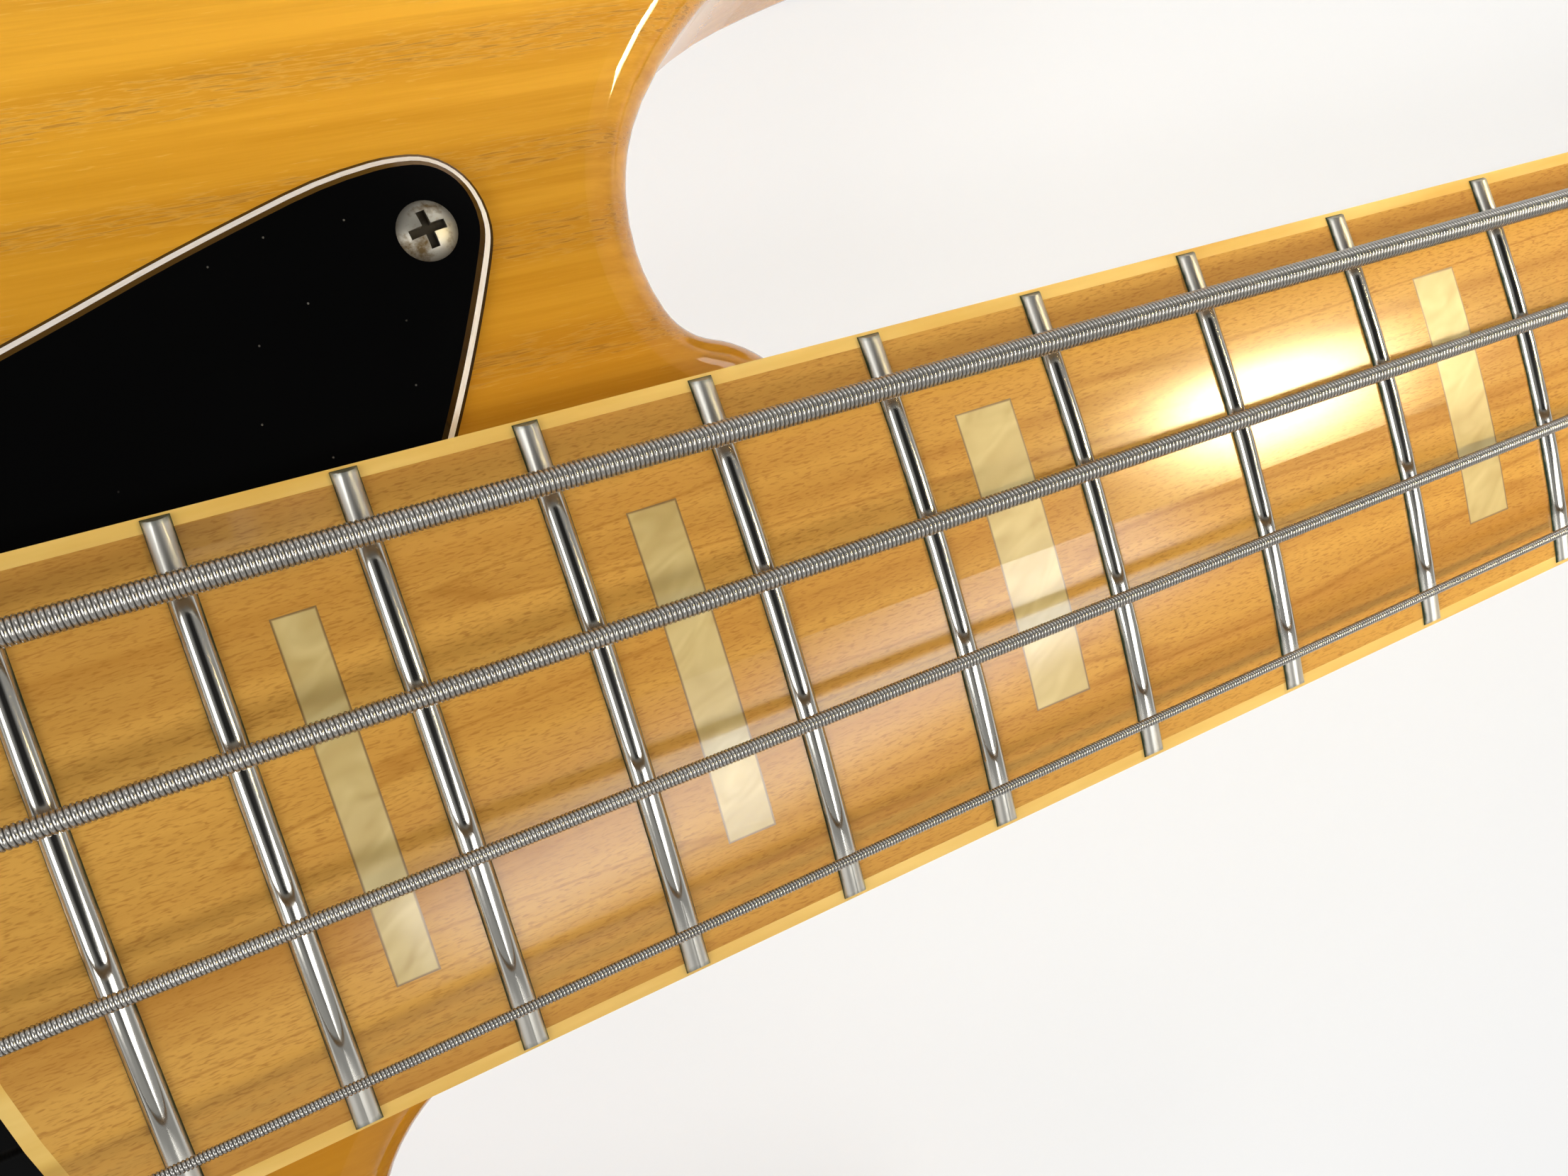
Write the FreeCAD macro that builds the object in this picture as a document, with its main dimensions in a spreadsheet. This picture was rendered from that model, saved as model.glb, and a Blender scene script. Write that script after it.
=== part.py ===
"""Four-string electric bass guitar with a 34 inch scale, made of separate pieces.

Frame: +X runs along the neck to the headstock, +Y to the low-string side, +Z out of the face.
The origin is the seat of the tail strap button, on the centre line at half the body's thickness.
"""
import FreeCAD, Part
import math
import os
import Sketcher
from types import SimpleNamespace
from FreeCAD import Placement, Rotation, Vector

doc = FreeCAD.newDocument("bass_guitar")

# Driving dimensions in millimetres, angles in degrees, and counts
SIZES = {
    "scale_length": 863.6,
    "bridge_setback": 82.0,
    "nut_width": 38.1,
    "last_fret_width": 62.6,
    "board_thick": 6.5,
    "board_radius": 184.15,
    "board_overhang": 13.0,
    "board_end_radius": 92.0,
    "binding_width": 1.5,
    "fret_width": 2.7,
    "fret_height": 1.1,
    "fret_tang": 0.6,
    "fret_tang_depth": 1.8,
    "fret_inset": 0.5,
    "block_depth": 1.6,
    "block_span": 0.607,
    "block_3": 12.5,
    "block_5": 11.0,
    "block_7": 9.5,
    "block_9": 8.5,
    "block_12": 7.3,
    "block_15": 7.6,
    "block_17": 5.6,
    "block_19": 4.4,
    "side_dot": 2.0,
    "side_dot_depth": 1.0,
    "nut_thick": 4.8,
    "nut_rise": 3.2,
    "heel_length": 96.0,
    "heel_blend": 46.0,
    "head_blend": 28.0,
    "neck_depth_heel": 15.6,
    "neck_depth_nut": 13.4,
    "truss_rod_dia": 5.0,
    "truss_nut_dia": 8.0,
    "truss_nut_length": 14.0,
    "truss_rod_end": 24.0,
    "truss_drop": 8.0,
    "head_drop": 6.0,
    "head_thick": 14.5,
    "head_length": 232.0,
    "head_scoop": 22.0,
    "body_thick": 44.0,
    "edge_round": 6.0,
    "crown_height": 9.5,
    "pocket_depth": 16.0,
    "pocket_gap": 0.15,
    "low_bout_x": 150.0,
    "low_bout_y": 171.0,
    "high_bout_x": 108.0,
    "high_bout_y": 171.0,
    "low_waist_x": 290.0,
    "low_waist_y": 127.0,
    "high_waist_x": 242.0,
    "high_waist_y": 119.0,
    "low_horn_ahead": 182.0,
    "low_horn_y": 106.0,
    "high_horn_ahead": 100.0,
    "high_horn_y": 106.0,
    "low_cutaway_ahead": 85.2,
    "low_cutaway_y": 45.5,
    "high_cutaway_ahead": 25.2,
    "high_cutaway_y": 54.0,
    "forearm_x": 104.0,
    "forearm_y": 104.0,
    "forearm_heading": 104.0,
    "forearm_drop_radius": 150.0,
    "forearm_length": 900.0,
    "belly_x": 268.0,
    "belly_y": 88.0,
    "belly_heading": 86.0,
    "belly_scoop_radius": 400.0,
    "belly_tilt": 14.0,
    "belly_crest_round": 5.0,
    "guard_base_ply": 0.5,
    "guard_core_ply": 0.9,
    "guard_top_ply": 0.9,
    "guard_bevel": 0.74,
    "guard_gap": 0.2,
    "cover_screw_dia": 3.0,
    "cover_screw_head": 6.2,
    "cover_screw_dome": 1.1,
    "cover_screw_sink": 1.6,
    "cover_screw_length": 14.0,
    "plate_length": 64.0,
    "plate_width": 51.0,
    "plate_thick": 2.0,
    "plate_corner": 5.0,
    "plate_screw_x": 50.8,
    "plate_screw_y": 38.1,
    "plate_setback": 38.0,
    "neck_screw_dia": 4.8,
    "neck_screw_head": 9.0,
    "neck_screw_rise": 2.0,
    "neck_screw_reach": 13.0,
    "pickup_x_neck": 152.0,
    "pickup_x_bridge": 62.0,
    "pickup_length": 91.5,
    "pickup_width": 18.5,
    "pickup_rise": 8.5,
    "pickup_sink": 9.5,
    "pickup_wall": 1.4,
    "pickup_gap": 0.5,
    "pickup_cavity_depth": 18.0,
    "pickup_ear_span": 68.0,
    "pickup_ear_radius": 5.0,
    "pickup_ear_out": 11.5,
    "pickup_ear_thick": 3.0,
    "pickup_ear_depth": 9.0,
    "pole_dia": 4.8,
    "pole_pair": 9.4,
    "pole_rise": 1.2,
    "flatwork_thick": 1.5,
    "string_spread_bridge": 58.5,
    "string_spread_nut": 27.9,
    "string_dia_1": 2.67,
    "string_dia_2": 2.16,
    "string_dia_3": 1.65,
    "string_dia_4": 1.14,
    "string_nut_rise": 1.5,
    "string_bridge_rise": 5.6,
    "saddle_dia": 9.0,
    "saddle_length": 17.4,
    "saddle_groove": 0.9,
    "saddle_step": 1.5,
    "saddle_screw_dia": 2.5,
    "saddle_screw_side": 4.3,
    "saddle_screw_head": 5.0,
    "saddle_height_screw": 2.2,
    "saddle_height_side": 7.3,
    "bridge_length": 52.0,
    "bridge_width": 83.0,
    "bridge_thick": 2.0,
    "bridge_wall_height": 15.5,
    "bridge_wall_back": 30.0,
    "bridge_screw_dia": 3.6,
    "bridge_screw_head": 7.0,
    "bridge_screw_length": 22.0,
    "spring_wire": 0.7,
    "spring_radius": 2.05,
    "spring_turns": 7,
    "control_x": 104.0,
    "control_y": 104.0,
    "control_angle": -4.0,
    "control_length": 152.0,
    "control_width": 36.0,
    "control_thick": 1.8,
    "control_cavity_depth": 35.0,
    "control_cavity_length": 126.0,
    "control_cavity_width": 28.0,
    "control_pitch": 33.0,
    "control_first": 48.0,
    "control_screw_x": 70.0,
    "pot_case_dia": 24.0,
    "pot_case_height": 11.0,
    "pot_bushing_dia": 9.4,
    "pot_bushing_rise": 6.0,
    "pot_shaft_dia": 6.0,
    "pot_shaft_rise": 15.0,
    "knob_dia": 19.0,
    "knob_height": 16.0,
    "knob_gap": 0.6,
    "knob_flutes": 18,
    "hex_nut_flat": 12.5,
    "hex_nut_height": 2.4,
    "jack_x": 50.0,
    "jack_bore": 6.5,
    "jack_sleeve_dia": 9.4,
    "jack_length": 22.0,
    "lead_dia": 2.4,
    "lead_channel_dia": 8.0,
    "post_pitch": 42.0,
    "post_first": 45.0,
    "post_dia": 12.7,
    "post_base_dia": 9.5,
    "post_rise": 19.0,
    "post_flange": 15.5,
    "post_flange_thick": 2.4,
    "post_slot": 3.0,
    "post_play": 0.05,
    "ferrule_dia": 17.5,
    "ferrule_flange": 21.0,
    "ferrule_flange_thick": 1.6,
    "ferrule_depth": 9.0,
    "wind_gap": 0.3,
    "wind_pitch_gap": 0.6,
    "wind_turns": 2,
    "tuner_plate_length": 40.0,
    "tuner_plate_width": 33.0,
    "tuner_plate_back": 15.5,
    "tuner_plate_below": 13.0,
    "tuner_ear": 3.0,
    "tuner_plate_thick": 1.6,
    "tuner_screw_dia": 2.4,
    "tuner_screw_head": 4.6,
    "tuner_screw_length": 11.0,
    "gear_module": 0.8,
    "gear_teeth": 20,
    "gear_thick": 4.0,
    "gear_addendum": 0.55,
    "worm_radius": 3.5,
    "worm_drop": 6.5,
    "worm_tooth_share": 0.38,
    "worm_length": 15.0,
    "worm_end_gap": 0.3,
    "key_shaft_dia": 5.0,
    "key_reach": 28.0,
    "key_paddle_length": 22.0,
    "key_paddle_width": 25.0,
    "key_paddle_thick": 3.2,
    "retainer_dia": 13.0,
    "retainer_thick": 3.0,
    "retainer_x": 78.0,
    "retainer_rise": 9.0,
    "retainer_screw_dia": 3.0,
    "strap_button_dia": 14.0,
    "strap_button_neck": 7.0,
    "strap_button_height": 13.0,
    "strap_screw_dia": 4.0,
    "strap_screw_length": 26.0,
    "running_gap": 0.05,
    "body_gap": 0.35,
}
sheet = doc.addObject("Spreadsheet::Sheet", "sizes")
for row, (alias, size) in enumerate(SIZES.items(), 1):
    sheet.set(f"A{row}", alias)
    sheet.set(f"B{row}", str(size))
    sheet.setAlias(f"B{row}", alias)
doc.recompute()
d = SimpleNamespace(**{alias: float(sheet.get(alias)) for alias in SIZES})

X_AXIS = Vector(1, 0, 0)
Y_AXIS = Vector(0, 1, 0)
Z_AXIS = Vector(0, 0, 1)
STRINGS = 4
FRETS = 20
# An arc that bows less than this is drawn as a line
STRAIGHT = 1e-4

# Levels and stations that several pieces share
bridge_x = d.bridge_setback
nut_x = bridge_x + d.scale_length
face_z = d.body_thick / 2
crown_z = face_z + d.crown_height
board_z = crown_z - d.board_thick
pocket_z = face_z - d.pocket_depth
guard_z = face_z + d.guard_base_ply + d.guard_core_ply + d.guard_top_ply
head_z = board_z - d.head_drop
head_back_z = head_z - d.head_thick


def fret_x(number):
    """Distance of a fret from the tail; each fret shortens the string by a twelfth root of two."""
    return bridge_x + d.scale_length * 2 ** (-number / 12)


def board_half(x):
    """Half the fingerboard's width, which grows evenly from the nut to the last fret."""
    share = (nut_x - x) / (nut_x - fret_x(FRETS))
    return (d.nut_width + (d.last_fret_width - d.nut_width) * share) / 2


board_end_x = fret_x(FRETS) - d.board_overhang
heel_front_x = board_end_x + d.heel_length
low_horn_x = board_end_x + d.low_horn_ahead
high_horn_x = board_end_x + d.high_horn_ahead
low_cutaway_x = board_end_x + d.low_cutaway_ahead
high_cutaway_x = board_end_x + d.high_cutaway_ahead


def string_y(number, x):
    """Sideways place of string 1 (lowest) to 4 at x, spread evenly at the bridge and at the nut."""
    share = (x - bridge_x) / d.scale_length
    spread = d.string_spread_bridge + (d.string_spread_nut - d.string_spread_bridge) * share
    return spread * (0.5 - (number - 1) / (STRINGS - 1))


def string_radius(number):
    return getattr(d, f"string_dia_{number}") / 2


def crown_drop(y):
    """How far the radiused fingerboard falls below its crown at y."""
    return d.board_radius - math.sqrt(d.board_radius ** 2 - y ** 2)


def string_z(number, x):
    """Height of a string's centre: its rise over the frets grows from the nut to the bridge."""
    share = (nut_x - x) / d.scale_length
    rise = d.string_nut_rise + (d.string_bridge_rise - d.string_nut_rise) * share
    outer = string_y(number, bridge_x + d.scale_length / 2)
    return crown_z - crown_drop(outer) + d.fret_height + rise + string_radius(number)


# Outlines: smooth chains of arcs through points that each have a heading

def arc_span(start, heading, end):
    """Arc that leaves start along heading and reaches end, as its three points and the turn at the end."""
    chord = end - start
    along = chord.dot(heading)
    away = chord - heading * along
    bend = math.atan2(away.Length, along)
    if bend < 1e-6:
        return start, start + chord * 0.5, end
    side = away / away.Length
    radius = chord.Length / (2 * math.sin(bend))
    middle = start + heading * (radius * math.sin(bend)) + side * (radius * (1 - math.cos(bend)))
    return start, middle, end


def biarc(start, heading, end, end_heading):
    """Two arcs that meet smoothly and join two points with given headings."""
    reach = end - start
    both = heading + end_heading
    lack = 2 * (1 - heading.dot(end_heading))
    if lack < 1e-9:
        length = reach.dot(reach) / (4 * reach.dot(end_heading))
    else:
        pull = reach.dot(both)
        length = (math.sqrt(pull * pull + lack * reach.dot(reach)) - pull) / lack
    joint = (start + end + (heading - end_heading) * length) * 0.5
    first = arc_span(start, heading, joint)
    last = arc_span(end, end_heading * -1, joint)
    return [first, (joint, last[1], end)]


def edge_of(span):
    """Line or arc through the three points of a span."""
    start, middle, end = span
    bow = (middle - (start + end) * 0.5).Length
    if bow < STRAIGHT:
        return Part.LineSegment(start, end).toShape()
    return Part.Arc(start, middle, end).toShape()


def heading_vector(degrees):
    return Vector(math.cos(math.radians(degrees)), math.sin(math.radians(degrees)), 0)


def spans_through(nodes, closed=True):
    """Arc spans in the XY plane through nodes (x, y, heading in degrees)."""
    spans = []
    following = nodes[1:] + nodes[:1] if closed else nodes[1:]
    for (x, y, turn), (next_x, next_y, next_turn) in zip(nodes, following):
        start = Vector(x, y, 0)
        end = Vector(next_x, next_y, 0)
        spans += biarc(start, heading_vector(turn), end, heading_vector(next_turn))
    return spans


def inward(span, distance):
    """The same span moved to its left by a distance, so a closed outline shrinks evenly."""
    start, middle, end = span
    bow = middle - (start + end) * 0.5
    chord = end - start
    left = Vector(-chord.y, chord.x, 0) / chord.Length
    if bow.Length < STRAIGHT:
        return tuple(point + left * distance for point in span)
    height = bow.Length
    radius = (chord.Length ** 2 / 4 + height ** 2) / (2 * height)
    centre = middle - bow / height * radius
    turns_left = bow.dot(left) < 0
    scale = (radius - distance) / radius if turns_left else (radius + distance) / radius
    return tuple(centre + (point - centre) * scale for point in span)


def ring(spans, level, inset=0.0):
    """Closed wire of spans at a height, drawn in by an inset."""
    shift = Vector(0, 0, level)
    return Part.Wire([edge_of(tuple(p + shift for p in inward(span, inset))) for span in spans])


def slab(spans, low, high, inset=0.0):
    """Flat solid of an outline between two heights."""
    return Part.Face(ring(spans, low, inset)).extrude(Vector(0, 0, high - low))


def cylinder(radius, low, high, x=0.0, y=0.0):
    """Upright round solid between two heights."""
    return Part.makeCylinder(radius, high - low, Vector(x, y, low), Z_AXIS)


def box(x0, x1, y0, y1, z0, z1):
    return Part.makeBox(x1 - x0, y1 - y0, z1 - z0, Vector(x0, y0, z0))


def joined(shapes):
    """One solid made of overlapping ones."""
    return shapes[0].multiFuse(shapes[1:]).removeSplitter()


def turned(profile, origin=Vector(0, 0, 0), axis=Z_AXIS):
    """Solid of revolution from points (radius, height) about an axis through origin."""
    points = [Vector(radius, 0, height) for radius, height in profile]
    face = Part.Face(Part.makePolygon(points + points[:1]))
    solid = face.revolve(Vector(0, 0, 0), Z_AXIS, 360)
    solid.Placement = Placement(origin, Rotation(Z_AXIS, axis))
    return solid


def tube(path_edges, radius):
    """Round bar along a smooth path of lines and arcs."""
    path = Part.Wire(path_edges)
    first = path_edges[0]
    tangent = first.tangentAt(first.FirstParameter)
    profile = Part.Wire(Part.makeCircle(radius, first.valueAt(first.FirstParameter), tangent))
    shell = Part.BRepOffsetAPI.MakePipeShell(path)
    shell.add(profile)
    shell.build()
    shell.makeSolid()
    return shell.shape()


PIECES = []


def piece(label, shape):
    """Sub-part whose shape is worked out from the sheet; several separate solids make one group."""
    solids = shape if isinstance(shape, list) else [shape]
    obj = doc.addObject("Part::Feature", label)
    obj.Label = label
    obj.Shape = solids[0] if len(solids) == 1 else Part.makeCompound(solids)
    PIECES.append(obj)
    return obj


def sub_part(obj, label):
    """Sub-part that is already an object of the document."""
    obj.Label = label
    PIECES.append(obj)
    return obj


def bind(obj, **expressions):
    """Tie properties of an object to cells of the sheet."""
    for name, expression in expressions.items():
        obj.setExpression(name.replace("_", "."), expression)
    return obj


def value(expression):
    """Number that an expression of sheet cells gives."""
    return float(sheet.evalExpression(expression))


def origin_plane(body, role):
    return next(feature for feature in body.Origin.OriginFeatures if feature.Role == role)


def sketch_on(body, name, role="XY_Plane"):
    sketch = body.newObject("Sketcher::SketchObject", name)
    sketch.AttachmentSupport = [(origin_plane(body, role), "")]
    sketch.MapMode = "FlatFace"
    return sketch


def fix_point(sketch, geometry, point, across, up):
    """Tie a point of a sketch to two expressions, measured from the sketch's origin."""
    for kind, axis, expression in (("DistanceX", -2, across), ("DistanceY", -1, up)):
        number = value(expression)
        if abs(number) < 1e-9:
            sketch.addConstraint(Sketcher.Constraint("PointOnObject", geometry, point, axis))
        elif number > 0:
            index = sketch.addConstraint(Sketcher.Constraint(kind, -1, 1, geometry, point, number))
            sketch.setExpression(f"Constraints[{index}]", expression)
        else:
            index = sketch.addConstraint(Sketcher.Constraint(kind, geometry, point, -1, 1, -number))
            sketch.setExpression(f"Constraints[{index}]", f"-({expression})")


def sketch_polygon(sketch, corners):
    """Closed polygon whose corners are pairs of expressions."""
    points = [Vector(value(across), value(up), 0) for across, up in corners]
    lines = []
    for start, end in zip(points, points[1:] + points[:1]):
        lines.append(sketch.addGeometry(Part.LineSegment(start, end), False))
    for line, following in zip(lines, lines[1:] + lines[:1]):
        sketch.addConstraint(Sketcher.Constraint("Coincident", line, 2, following, 1))
    for line, (across, up) in zip(lines, corners):
        fix_point(sketch, line, 1, across, up)


def sketch_circle(sketch, across, up, radius):
    """Circle whose centre and radius are expressions."""
    centre = Vector(value(across), value(up), 0)
    circle = sketch.addGeometry(Part.Circle(centre, Z_AXIS, value(radius)), False)
    fix_point(sketch, circle, 3, across, up)
    index = sketch.addConstraint(Sketcher.Constraint("Radius", circle, value(radius)))
    sketch.setExpression(f"Constraints[{index}]", radius)


def pad(body, sketch, length):
    feature = body.newObject("PartDesign::Pad", f"{sketch.Name}_pad")
    feature.Profile = sketch
    feature.setExpression("Length", length)
    doc.recompute()
    return feature


def pocket_through(body, sketch, reversed_cut=True):
    """Cut a sketch right through, and make sure that it really removed something."""
    before = body.Shape.Volume
    feature = body.newObject("PartDesign::Pocket", f"{sketch.Name}_cut")
    feature.Profile = sketch
    feature.Type = "ThroughAll"
    feature.Reversed = reversed_cut
    doc.recompute()
    if body.Shape.Volume > before - 1e-6:
        raise ValueError(f"{sketch.Name} cuts nothing")
    return feature


def round_edges(body, base, radius, chosen):
    """Round the edges of a feature that a test picks out."""
    names = [f"Edge{i}" for i, edge in enumerate(base.Shape.Edges, 1) if chosen(edge)]
    feature = body.newObject("PartDesign::Fillet", f"{base.Name}_round")
    feature.Base = (base, names)
    feature.setExpression("Radius", radius)
    doc.recompute()
    return feature


def upright(edge):
    """True for a straight edge along Z."""
    run = edge.Vertexes[-1].Point - edge.Vertexes[0].Point
    return math.hypot(run.x, run.y) < 1e-6 and abs(run.z) > 1e-6


def place(obj, x="0", y="0", z="0"):
    """Put an object at expressions of the sheet."""
    for axis, expression in (("x", x), ("y", y), ("z", z)):
        obj.setExpression(f"Placement.Base.{axis}", expression)


# Body outline, counter-clockwise from the tail: low bout, waist, horn and cutaway on each side
lip = board_half(bridge_x + d.scale_length * 0.4) + 1.9
neck_lean = math.degrees(math.atan((board_half(fret_x(FRETS)) - board_half(nut_x)) / (nut_x - fret_x(FRETS))))
BODY_NODES = [
    (0, 0, -90),
    (0.26 * d.high_bout_x, -0.795 * d.high_bout_y, -52),
    (d.high_bout_x, -d.high_bout_y, 4),
    (0.42 * d.high_bout_x + 0.58 * d.high_waist_x, -0.365 * d.high_bout_y - 0.635 * d.high_waist_y, 27),
    (d.high_waist_x, -d.high_waist_y, 2),
    (0.56 * d.high_waist_x + 0.44 * high_horn_x, -d.high_horn_y - 30, -2),
    (high_horn_x - 26, -d.high_horn_y - 21, 28),
    (high_horn_x, -d.high_horn_y, 92),
    (high_horn_x - 20, -d.high_horn_y + 18, 170),
    (high_cutaway_x + 27, -d.high_cutaway_y - 26, 160),
    (high_cutaway_x, -d.high_cutaway_y, 92),
    (high_cutaway_x + 17, -lip - 1.6, 7),
    (high_cutaway_x + 46, -lip, 1.5),
    (high_cutaway_x + 56.5, -lip + 9.5, 80),
    (low_cutaway_x + 14.8, lip - 12.5, 86),
    (low_cutaway_x + 5.7, lip + 2.4, 160),
    (low_cutaway_x, d.low_cutaway_y, 90),
    (low_cutaway_x + 20, d.low_cutaway_y + 27.5, 29),
    (low_cutaway_x + 46, d.low_cutaway_y + 35.3, 10),
    (low_horn_x - 18, d.low_horn_y - 20, 32),
    (low_horn_x, d.low_horn_y, 90),
    (low_horn_x - 26, d.low_horn_y + 25, 160),
    (0.44 * d.low_waist_x + 0.56 * low_horn_x, d.low_horn_y + 40, 178),
    (0.73 * d.low_waist_x + 0.27 * low_horn_x, 0.4 * d.low_waist_y + 0.6 * (d.low_horn_y + 39), 193),
    (d.low_waist_x, d.low_waist_y, 183),
    (0.54 * d.low_bout_x + 0.46 * d.low_waist_x, 0.455 * d.low_bout_y + 0.545 * d.low_waist_y, 157),
    (d.low_bout_x, d.low_bout_y, 178),
    (0.35 * d.low_bout_x, 0.77 * d.low_bout_y, 232),
]
body_spans = spans_through(BODY_NODES)


# Plan of the neck's heel and of the fingerboard: straight tapered sides and an arched end
def neck_plan(front_x):
    """Spans of the neck from front_x back to its arched end and forward again, open at the front."""
    corner_x = board_end_x + 11
    corner_angle = math.asin((board_half(corner_x) - 4.5) / d.board_end_radius)
    arch_x = board_end_x + d.board_end_radius * (1 - math.cos(corner_angle))
    arch_y = d.board_end_radius * math.sin(corner_angle)
    arch_turn = math.degrees(corner_angle)
    return spans_through([
        (front_x, board_half(front_x), 180 - neck_lean),
        (corner_x, board_half(corner_x), 180 - neck_lean),
        (arch_x, arch_y, 270 - arch_turn),
        (board_end_x, 0, 270),
        (arch_x, -arch_y, 270 + arch_turn),
        (corner_x, -board_half(corner_x), neck_lean),
        (front_x, -board_half(front_x), neck_lean),
    ], closed=False)


def neck_slab(front_x, low, high, inset=0.0):
    """Flat solid of the neck's plan between two heights."""
    shift = Vector(0, 0, low)
    spans = [inward(span, inset) for span in neck_plan(front_x)]
    edges = [edge_of(tuple(p + shift for p in span)) for span in spans]
    edges.append(Part.LineSegment(spans[-1][2] + shift, spans[0][0] + shift).toShape())
    return Part.Face(Part.Wire(edges)).extrude(Vector(0, 0, high - low))


board_cylinder = Part.makeCylinder(
    d.board_radius, d.scale_length, Vector(board_end_x - 20, 0, crown_z - d.board_radius), X_AXIS)

# Fingerboard, its binding, the pearl blocks and the side dots
board = neck_slab(nut_x, board_z, crown_z, d.binding_width).common(board_cylinder)
binding_outer = neck_slab(nut_x, board_z, crown_z).common(board_cylinder)
binding_inner = neck_slab(nut_x + 1, board_z - 1, crown_z + 1, d.binding_width)
binding = binding_outer.cut(binding_inner)

MARKED_FRETS = (3, 5, 7, 9, 12, 15, 17, 19)
blocks = []
dots = []
dot_z = (board_z + crown_z - crown_drop(board_half(fret_x(12)))) / 2
for number in MARKED_FRETS:
    middle_x = (fret_x(number) + fret_x(number - 1)) / 2
    half_x = getattr(d, f"block_{number}") / 2
    half_y = d.block_span * board_half(middle_x)
    seat = box(middle_x - half_x, middle_x + half_x, -half_y, half_y, board_z, crown_z)
    under_axis = Vector(board_end_x - 20, 0, crown_z - d.board_radius)
    under = Part.makeCylinder(d.board_radius - d.block_depth, d.scale_length, under_axis, X_AXIS)
    blocks.append(seat.common(board_cylinder).cut(under))
    shifts = (-5, 5) if number == 12 else (0,)
    for shift in shifts:
        side_y = board_half(middle_x + shift)
        dot_axis = Vector(math.sin(math.radians(neck_lean)), math.cos(math.radians(neck_lean)), 0)
        start = Vector(middle_x + shift, side_y, dot_z) - dot_axis * d.side_dot_depth
        dots.append(Part.makeCylinder(d.side_dot / 2, d.side_dot_depth, start, dot_axis))
board = board.cut(blocks)
binding = binding.cut(dots)

# Frets: an arched bead over the whole board and a tang in a slot between the bindings
board_axis = Vector(0, 0, crown_z - d.board_radius)


def swept_over_board(outline, half_y):
    """Solid of a fret section carried across the radiused board."""
    angle = math.degrees(math.asin(half_y / d.board_radius))
    face = Part.Face(outline)
    face.rotate(board_axis, X_AXIS, angle)
    return face.revolve(board_axis, X_AXIS, -2 * angle)


def end_bevel_solid():
    """Tapered block that trims the fret ends to a slope along the board's edges."""
    sections = []
    for level, inset in ((crown_z - 6, -1.0), (crown_z + d.fret_height, d.fret_inset + 1.1)):
        far_x = board_end_x
        corners = [(far_x, -1), (nut_x, -1), (nut_x, 1), (far_x, 1)]
        points = [Vector(x, side * (board_half(x) - inset), level) for x, side in corners]
        sections.append(Part.makePolygon(points + points[:1]))
    return Part.makeLoft(sections, True, True)


bevel = end_bevel_solid()
frets = []
slots = []
for number in range(1, FRETS + 1):
    x = fret_x(number)
    left = Vector(x - d.fret_width / 2, 0, crown_z)
    right = Vector(x + d.fret_width / 2, 0, crown_z)
    top = Vector(x, 0, crown_z + d.fret_height)
    bead = Part.Wire([Part.Arc(left, top, right).toShape(), Part.LineSegment(right, left).toShape()])
    tang_corners = [
        Vector(x - d.fret_tang / 2, 0, crown_z - d.fret_tang_depth),
        Vector(x + d.fret_tang / 2, 0, crown_z - d.fret_tang_depth),
        Vector(x + d.fret_tang / 2, 0, crown_z),
        Vector(x - d.fret_tang / 2, 0, crown_z),
    ]
    tang_half = board_half(x) - d.binding_width - 0.1
    slot = swept_over_board(Part.makePolygon(tang_corners + tang_corners[:1]), tang_half)
    slots.append(slot)
    crown = swept_over_board(bead, board_half(x) - d.fret_inset + 0.4).common(bevel)
    frets.append(crown.fuse(slot).removeSplitter())
board = board.cut(slots)

piece("fingerboard", board)
piece("fingerboard_binding", binding)
piece("position_blocks", blocks)
piece("side_dots", dots)
piece("frets", frets)

# Neck: heel block, shaft that turns from a square heel to a rounded back, and headstock
def shaft_section(x, half, depth, power):
    """Section of the shaft: flat top and a superellipse below, squarer for a higher power."""
    points = []
    steps = 16
    for step in range(steps + 1):
        angle = math.pi * step / steps
        across = math.copysign(abs(math.cos(angle)) ** (2 / power), math.cos(angle))
        down = math.sin(angle) ** (2 / power) if 0 < step < steps else 0.0
        points.append(Vector(x, half * across, board_z - depth * down))
    curve = Part.BSplineCurve()
    curve.interpolate(points)
    return Part.Wire([curve.toShape(), Part.LineSegment(points[-1], points[0]).toShape()])


heel_depth = board_z - pocket_z
head_depth = board_z - head_back_z
# The shaft ends this far inside the headstock's back
HEAD_LAP = 0.8


def eased(share):
    """Smooth step from 0 to 1."""
    share = min(max(share, 0.0), 1.0)
    return share * share * (3 - 2 * share)


def neck_station(x):
    """Half width, depth and squareness of the shaft at x, from the heel to the headstock."""
    from_heel = eased((x - heel_front_x) / d.heel_blend)
    to_head = eased((x - nut_x + d.head_blend) / (2 * d.head_blend))
    along = (x - heel_front_x) / (nut_x - heel_front_x)
    depth = d.neck_depth_heel + (d.neck_depth_nut - d.neck_depth_heel) * along
    depth = heel_depth + (depth - heel_depth) * from_heel
    depth = depth + (head_depth - HEAD_LAP - depth) * to_head
    power = 9.0 - 6.7 * from_heel + 2.7 * to_head
    half = board_half(min(x, nut_x)) + 3.0 * max(0.0, 2 * to_head - 1)
    return x, half, depth, power


SHAFT_STEPS = 12
heel_stops = [heel_front_x + d.heel_blend * step / 4 for step in range(4)]
shaft_start = heel_front_x + d.heel_blend
shaft_run = nut_x - d.head_blend - shaft_start
shaft_stops = [shaft_start + shaft_run * step / SHAFT_STEPS for step in range(SHAFT_STEPS)]
head_stops = [nut_x - d.head_blend + 2 * d.head_blend * step / 5 for step in range(6)]
neck_stations = [neck_station(x) for x in heel_stops + shaft_stops + head_stops]
shaft = Part.makeLoft([shaft_section(*station) for station in neck_stations], True, False)
heel = neck_slab(heel_front_x, pocket_z, board_z)

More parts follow.
